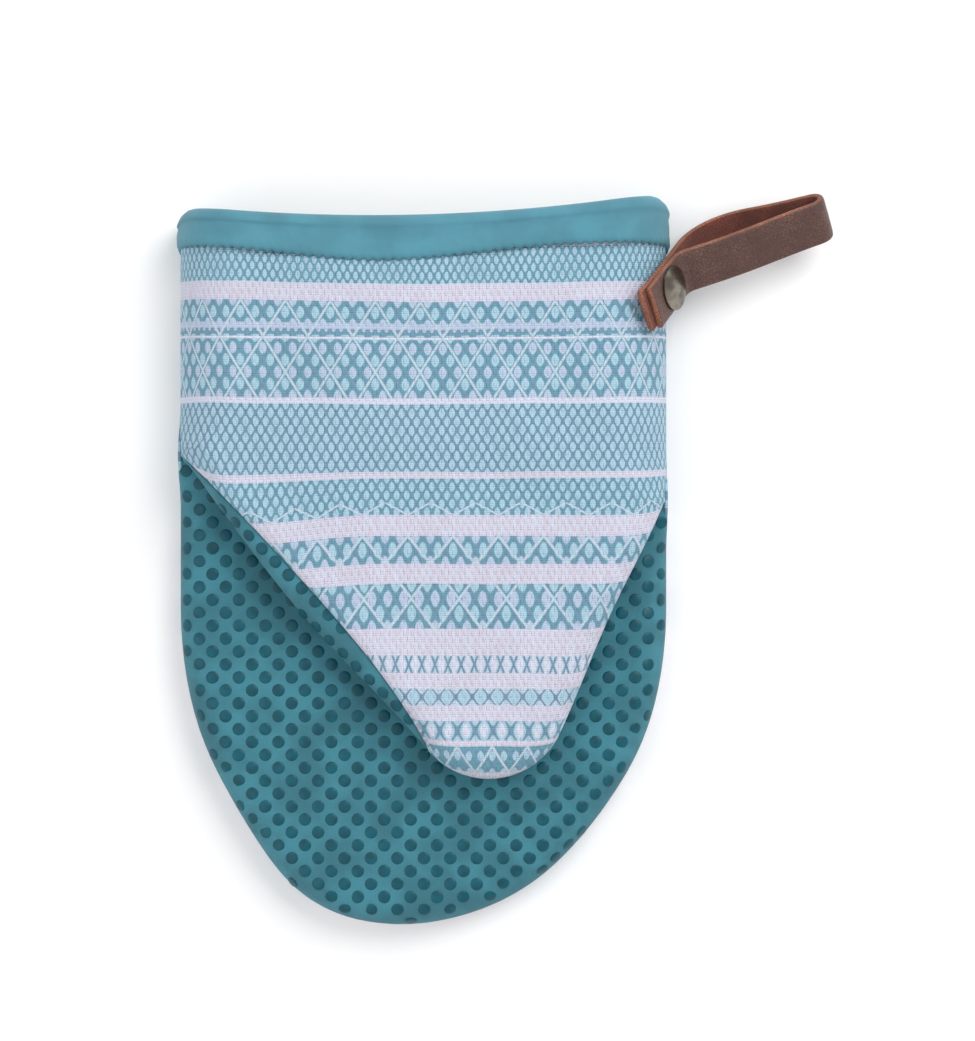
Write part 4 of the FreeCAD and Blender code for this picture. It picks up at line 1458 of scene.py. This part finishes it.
@dataclass
class GripDots:
    """Raised silicone dots on the grip cloth, in offset rows."""

    pitch: float = 7.48
    row_gap: float = 3.655
    radius: float = 1.82
    height: float = 0.3
    shift: Point = (4.0, 1.0)
    area: Tuple[Point, Point] = ((-75, -110), (75, 40))

    def template(self) -> bpy.types.Mesh:
        """One low dome.

        Returns:
            The mesh, its flat side down.
        """
        dot = bmesh.new()
        bmesh.ops.create_uvsphere(dot, u_segments=12, v_segments=8, radius=self.radius * MM)
        bmesh.ops.bisect_plane(dot, geom=dot.verts[:] + dot.edges[:] + dot.faces[:],
                               plane_co=(0, 0, 0.00001), plane_no=(0, 0, 1), clear_inner=True)
        bmesh.ops.scale(dot, vec=(1, 1, self.height / self.radius), verts=dot.verts[:])
        mesh = bpy.data.meshes.new("dot_template")
        dot.to_mesh(mesh)
        dot.free()
        return mesh

    def places(self, low: Point, high: Point) -> List[Point]:
        """The lattice points of a box.

        Args:
            low: The lowest corner.
            high: The highest corner.

        Returns:
            Plan points in millimetres.
        """
        found = []
        for row in range(int(low[1] // self.row_gap), int(high[1] // self.row_gap) + 1):
            offset = self.pitch / 2 * (row % 2)
            for column in range(int(low[0] // self.pitch) - 1, int(high[0] // self.pitch) + 2):
                found.append((column * self.pitch + offset + self.shift[0],
                              row * self.row_gap + self.shift[1]))
        return found

    def build(self, name: str, cloths: Sequence[Piece], facing: Facing, body: Body,
              finishes: Finishes, margin: float = 2.2, steepest: float = 0.42) -> Piece:
        """Drop the dots on the cloths from above or below.

        Args:
            name: The piece's name.
            cloths: The cloth pieces that carry the dots.
            facing: The side that the dots are on.
            body: The body they ride on.
            finishes: The materials.
            margin: How much cloth there is around a dot's middle at the least.
            steepest: The least upward lean of cloth that still carries dots.

        Returns:
            The dots as one piece.
        """
        template = self.template()
        all_dots = bmesh.new()
        side = facing.value
        for cloth in cloths:
            gauge = bmesh.new()
            gauge.from_mesh(cloth.data)
            tree = BVHTree.FromBMesh(gauge)
            gauge.free()
            for x, y in self.places(*self.area):
                hits = []
                for dx, dy in ((0, 0), (margin, 0), (-margin, 0), (0, margin), (0, -margin)):
                    start = Vector(((x + dx) * MM, (y + dy) * MM, side * 0.1))
                    hits.append(tree.ray_cast(start, Vector((0, 0, -side))))
                if any(hit[0] is None for hit in hits):
                    continue
                place, normal = hits[0][0], hits[0][1]
                if normal.z * side < steepest:
                    continue
                count = len(all_dots.verts)
                all_dots.from_mesh(template)
                all_dots.verts.ensure_lookup_table()
                turn = Vector((0, 0, 1)).rotation_difference(normal).to_matrix().to_4x4()
                bmesh.ops.transform(all_dots, matrix=Matrix.Translation(place) @ turn,
                                    verts=all_dots.verts[count:])
        piece = finish_mesh(all_dots, name, [finishes.get("dots")])
        bpy.data.meshes.remove(template)
        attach(piece, body.value)
        LOG.info("made %s with %d points", name, len(piece.data.vertices))
        return piece


# ---------------------------------------------------------------------- cuff


@dataclass
class CuffBinding:
    """The wide tape folded over the mouth's edge."""

    plan: Plan = field(default_factory=Plan)
    front_z: float = 29.8
    back_corner: Point = (6.0, 7.4)
    front_corner: Point = (18.0, 22.2)
    proud: float = 0.9
    wall: float = 5.6
    inner_depth: float = 13.0
    thick: float = 0.8
    around: int = 420
    flat_width: float = 34.0
    seam_low: float = 84.8
    seam_rise: float = 5.2
    seam_middle: float = -12.0
    seam_spread: float = 38.0
    back_seam: float = 88.0
    pucker: float = 0.3
    pucker_pitch: float = 2.8
    crease: float = 0.8
    corner_drop: float = 2.2

    def ring(self) -> Array:
        """The mouth's section, x and z, walked once around.

        Returns:
            The closed line.
        """
        half, top = self.plan.half_width, self.front_z
        quarter = np.linspace(0.0, math.pi / 2, 40)
        bx, bz = self.back_corner
        fx, fz = self.front_corner
        right_low = np.stack([half - bx + bx * np.sin(quarter), bz - bz * np.cos(quarter)], axis=-1)
        right_high = np.stack([half - fx + fx * np.cos(quarter), top - fz + fz * np.sin(quarter)], axis=-1)
        right = np.concatenate([right_low, right_high])
        return np.concatenate([right, (right * (-1, 1))[::-1], right[:1]])

    def profile(self) -> Array:
        """How far out, and how far along from the edge (0) or the lower seam (1), by share.

        Returns:
            Rows of out, down and under.
        """
        edge = self.wall / 2
        outside = [(-0.5, 1.0, 0.0), (0.5, 0.96, 0.0), (0.9, 0.85, 0.0), (0.8, 0.5, 0.0), (0.6, 0.25, 1.0)]
        turn = [(self.proud - edge + edge * math.cos(a), 0.0, edge - edge * math.sin(a))
                for a in np.linspace(0.0, math.pi, 9)]
        inside = [(self.proud - self.wall, 0.0, edge + self.inner_depth * k) for k in (0.3, 0.7, 1.0)]
        return np.array(outside + turn + inside)

    def build(self, finishes: Finishes) -> Piece:
        """Make the ring, with its sagging edge, its wrinkles and its seam's puckers.

        Args:
            finishes: The materials.

        Returns:
            The piece.
        """
        ring = self.ring()
        ring_at = walk(ring)
        round_length = np.linalg.norm(np.diff(ring, axis=0), axis=1).sum()
        profile = self.profile()
        steps = np.concatenate([[0.0], np.cumsum(np.linalg.norm(
            np.diff(profile * (1, 12, 1), axis=0), axis=1))])
        steps /= steps[-1]

        def form(around: Array, across: Array) -> Tuple[Array, Array]:
            """Wrap the profile round the ring.

            Args:
                around: Shares around the grid.
                across: Shares across the grid.

            Returns:
                The places and the cloth coordinates.
            """
            place = ring_at(around)
            ahead = ring_at((around + 0.0005) % 1.0) - ring_at((around - 0.0005) % 1.0)
            ahead /= np.maximum(np.linalg.norm(ahead, axis=1), 1e-9)[:, None]
            outward = np.stack([ahead[:, 1], -ahead[:, 0]], axis=-1)
            out, down, under = [np.interp(across, steps, profile[:, k]) for k in range(3)]
            front = smoothstep(4.0, 16.0, place[:, 1])
            x = place[:, 0]
            cuff = self.plan.cuff_point(x)[:, 1] - self.corner_drop * smoothstep(64.0, 70.5, np.abs(x)) ** 2
            away = (x - self.seam_middle) / self.seam_spread
            low = self.seam_low + self.seam_rise * (1.0 - np.exp(-(away ** 2)))
            low = low * front + self.back_seam * (1 - front)
            run = around * round_length
            ripple = np.sin(2 * math.pi * run / self.pucker_pitch)
            pucker = self.pucker * ripple * np.exp(-((down - 0.9) / 0.12) ** 2)
            crease = self.crease * cloud(np.stack([run, down * 30.0], axis=-1), 11.0, 41.0) * (down > 0)
            y = cuff - down * (cuff - low) - under + 0.35 * ripple * (down > 0.95)
            section = place + outward * (out + (pucker + crease) * (out > 0) * 0.5)[:, None]
            section[:, 1] = np.maximum(section[:, 1], 0.05 + 0.9 * (out < 0))
            flat = np.stack([run, across * 32.0], axis=-1)
            return np.stack([section[:, 0], y, section[:, 1]], axis=-1), flat

        shell = moved_grid(self.around, 30, form)
        bmesh.ops.remove_doubles(shell, verts=shell.verts[:], dist=0.00002)
        bmesh.ops.recalc_face_normals(shell, faces=shell.faces[:])
        shell.normal_update()
        if sum((face.normal.dot(face.calc_center_median() - Vector((0, 0.09, 0.015))) for face in shell.faces
                if face.calc_center_median().z > 0.0302), 0.0) < 0:
            bmesh.ops.reverse_faces(shell, faces=shell.faces[:])
            shell.normal_update()
        thicken(shell, self.thick)
        piece = finish_mesh(shell, "cuff_binding_tape", [finishes.get("cuff")])
        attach(piece, Body.HAND.value)
        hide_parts("cuff_binding")
        return piece


# --------------------------------------------------------------------- strap


@dataclass
class LeatherLoop:
    """The leather strip folded into a hanging loop under the rivet."""

    width: float = 12.7
    thick: float = 2.0
    rivet_y: float = 77.6
    tilt: float = math.radians(58.0)
    swivel: float = math.radians(34.0)
    half_width: float = 69.3
    front_z: float = 29.8
    front_round: float = 18.0
    inner: float = 1.3
    outer: float = 3.4
    start: float = -11.1
    tuck: float = -12.6
    flat: float = 6.6
    bend: float = math.radians(53.0)
    bend_radius: float = 4.5
    leg: float = 38.0
    nose: float = 3.4
    closing: float = math.radians(19.0)
    belly: float = 20.0
    side_power: float = 0.22
    face_power: float = 0.55
    wobble: float = 0.25
    wobble_turns: float = 19.0
    around: int = 20
    along: int = 220

    def frame(self) -> Tuple[Array, Array, Array, Array]:
        """The rivet's place, and the strap's own axes: along, out and across.

        Returns:
            The place and the three directions.
        """
        lean = self.front_round * (1 - math.sin(self.tilt)), self.front_round * (1 - math.cos(self.tilt))
        place = np.array([self.half_width - lean[0], self.rivet_y, self.front_z - lean[1]])
        out = np.array([math.sin(self.tilt), 0.0, math.cos(self.tilt)])
        down = np.array([math.cos(self.tilt), 0.0, -math.sin(self.tilt)])
        up = np.array([0.0, 1.0, 0.0])
        along = math.cos(self.swivel) * down + math.sin(self.swivel) * up
        across = -math.sin(self.swivel) * down + math.cos(self.swivel) * up
        return place, along, out, across

    def route(self) -> Array:
        """The strip's middle line in its own plane.

        Returns:
            The line, in millimetres.
        """
        def heading(angle: float) -> Array:
            """A unit step in a direction."""
            return np.array([math.cos(angle), math.sin(angle)])

        def arc(centre: Array, radius: float, first: float, last: float) -> Array:
            """Points of an arc."""
            return np.array([centre + radius * heading(a) for a in np.linspace(first, last, 30)])

        quarter = math.pi / 2
        back = self.bend - math.pi + self.closing
        bend_centre = np.array([self.flat, self.outer + self.bend_radius])
        leave = bend_centre + self.bend_radius * heading(self.bend - quarter)
        nose_start = leave + self.leg * heading(self.bend)
        nose_centre = nose_start + self.nose * heading(self.bend - quarter)
        turned = nose_centre + self.nose * heading(back + quarter)
        drop = turned[1] - self.inner - self.belly * (1 + math.cos(back))
        belly_start = turned + heading(back) * (drop / -math.sin(back))
        belly_centre = belly_start - self.belly * heading(back + quarter)
        parts = [np.array([[self.start, self.outer]]),
                 arc(bend_centre, self.bend_radius, -quarter, self.bend - quarter),
                 arc(nose_centre, self.nose, self.bend + quarter, back + quarter),
                 arc(belly_centre, self.belly, back + quarter, -quarter),
                 np.array([[self.tuck, self.inner]])]
        return np.concatenate(parts)

    def build(self, finishes: Finishes) -> Piece:
        """Sweep the strip along its route with rounded edges.

        Args:
            finishes: The materials.

        Returns:
            The piece.
        """
        origin, along_axis, out_axis, across_axis = self.frame()
        line = dense(self.route(), 0.5)
        ahead = np.gradient(line, axis=0)
        ahead /= np.linalg.norm(ahead, axis=1)[:, None]
        line_at = walk(line)
        shares = np.linspace(0.0, 1.0, len(line))
        length = np.linalg.norm(np.diff(line, axis=0), axis=1).sum()
        half, deep = self.width / 2, self.thick / 2

        def section(turn: Array) -> Tuple[Array, Array]:
            """A rounded rectangle by angle: across and through the strip.

            Args:
                turn: Shares of a full turn.

            Returns:
                Two distances from the middle.
            """
            angle = turn * 2 * math.pi
            c, s = np.cos(angle), np.sin(angle)
            wide = np.sign(c) * np.abs(c) ** self.side_power * half
            through = np.sign(s) * np.abs(s) ** self.face_power * deep
            return wide, through

        def form(around: Array, along: Array) -> Tuple[Array, Array]:
            """Wrap the section along the route.

            Args:
                around: Shares around the grid.
                along: Shares along the grid.

            Returns:
                The places and the cloth coordinates.
            """
            middle = line_at(along)
            step = np.stack([np.interp(along, shares, ahead[:, k]) for k in range(2)], axis=-1)
            step /= np.linalg.norm(step, axis=1)[:, None]
            side = np.stack([-step[:, 1], step[:, 0]], axis=-1)
            wide, through = section(around)
            wobble = self.wobble * np.sin(along * self.wobble_turns)
            flat_place = middle + side * through[:, None]
            place = (origin + flat_place[:, :1] * along_axis + flat_place[:, 1:] * out_axis
                     + (wide + wobble)[:, None] * across_axis)
            return place, np.stack([wide + through, along * length], axis=-1)

        strip = moved_grid(self.around, self.along, form)
        bmesh.ops.remove_doubles(strip, verts=strip.verts[:], dist=0.00001)
        bmesh.ops.holes_fill(strip, edges=[edge for edge in strip.edges if edge.is_boundary], sides=0)
        bmesh.ops.recalc_face_normals(strip, faces=strip.faces[:])
        strip.normal_update()
        self.paint(strip, line, origin, along_axis, out_axis, across_axis)
        piece = finish_mesh(strip, "hanging_loop_strip",
                            [finishes.get("face"), finishes.get("edge"), finishes.get("flesh")])
        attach(piece, Body.STRAP.value)
        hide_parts("leather_strap")
        LOG.info("made the strap, %.0f mm long", length)
        return piece

    def paint(self, strip: Shell, line: Array, origin: Array, along_axis: Array,
              out_axis: Array, across_axis: Array) -> None:
        """Give the outer face, the raw edges and the inner face their own materials."""
        ahead = np.gradient(line, axis=0)
        for face in strip.faces:
            centre = np.array(face.calc_center_median()) / MM - origin
            flat_place = np.array([centre @ along_axis, centre @ out_axis])
            nearest = np.linalg.norm(line - flat_place, axis=1).argmin()
            side = np.array([-ahead[nearest][1], ahead[nearest][0]])
            normal = np.array(face.normal)
            lean = abs(float(normal @ across_axis))
            outer = float(side @ np.array([normal @ along_axis, normal @ out_axis])) > 0
            face.material_index = 1 if lean > 0.6 or len(face.verts) > 4 else (0 if outer else 2)


# -------------------------------------------------------------------- studio


@dataclass
class Studio:
    """Pale floor, soft lights and the camera straight above."""

    centre: Point = (18.27, 12.51)
    frame_height: float = 292.7
    focus_height: float = 20.0
    lens: float = 100.0
    sensor: float = 36.0
    pale: float = 0.95
    world_strength: float = 0.72

    def floor(self) -> None:
        """A plain pale floor."""
        slab = bmesh.new()
        bmesh.ops.create_grid(slab, x_segments=1, y_segments=1, size=1.5)
        nodes = Nodes("studio_floor")
        nodes.set("Base Color", (self.pale, self.pale, self.pale, 1.0))
        nodes.set("Roughness", 0.95)
        piece = finish_mesh(slab, "studio_floor", [nodes.material])

    def light(self, name: str, place: Tuple[float, float, float], size: float, power: float) -> None:
        """A soft square light that looks at the mitt.

        Args:
            name: Its name.
            place: Where it stands, in metres.
            size: The length of its side.
            power: Its power in watts.
        """
        lamp = bpy.data.lights.new(name, "AREA")
        lamp.size = size
        lamp.energy = power
        holder = bpy.data.objects.new(name, lamp)
        holder.location = place
        holder.rotation_euler = (-Vector(place)).to_track_quat("-Z", "Y").to_euler()
        bpy.context.scene.collection.objects.link(holder)

    def camera(self) -> None:
        """The camera, looking straight down."""
        lens = bpy.data.cameras.new("camera")
        lens.lens = self.lens
        lens.sensor_width = self.sensor
        holder = bpy.data.objects.new("camera", lens)
        far = self.frame_height * self.lens / self.sensor + self.focus_height
        holder.location = (self.centre[0] * MM, self.centre[1] * MM, far * MM)
        bpy.context.scene.collection.objects.link(holder)
        bpy.context.scene.camera = holder

    def build(self) -> None:
        """Set the whole studio up."""
        self.floor()
        self.camera()
        self.light("key_light", (0.45, 0.5, 0.75), 0.6, 5.5)
        self.light("fill_light", (-0.6, -0.2, 0.7), 0.9, 2.0)
        world = bpy.data.worlds.new("studio")
        world.use_nodes = True
        sky = world.node_tree.nodes["Background"]
        sky.inputs["Color"].default_value = (1.0, 1.0, 1.0, 1.0)
        sky.inputs["Strength"].default_value = self.world_strength
        bpy.context.scene.world = world
        bpy.context.scene.view_settings.view_transform = "Standard"


def main() -> None:
    """Build the mitt piece by piece."""
    logging.basicConfig(level=logging.INFO, format="%(message)s")
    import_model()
    finishes = Finishes()
    pattern = Pattern()
    pattern.back().build(finishes)
    finger_cloths = pattern.finger_palm().build(finishes)
    thumb_cloths = pattern.thumb_palm().build(finishes)
    pattern.front().build(finishes)
    roll = ThumbRoll(pattern).build(finishes)
    FoldTuck(pattern).build(finishes)
    dots = GripDots()
    dots.build("finger_dots", finger_cloths[:1], Facing.UP, Body.HAND, finishes, 1.3, 0.25)
    dots.build("thumb_roll_dots", [roll], Facing.UP, Body.THUMB, finishes, 0.1, 0.2)
    dots.build("thumb_dots", thumb_cloths[:1], Facing.DOWN, Body.THUMB, finishes)
    CuffBinding().build(finishes)
    LeatherLoop().build(finishes)
    for name in ("rivet_cap", "rivet_post"):
        node = bpy.data.objects[name]
        for slot in node.material_slots:
            slot.material = finishes.get("brass")
    Studio().build()


if __name__ == "__main__":
    main()
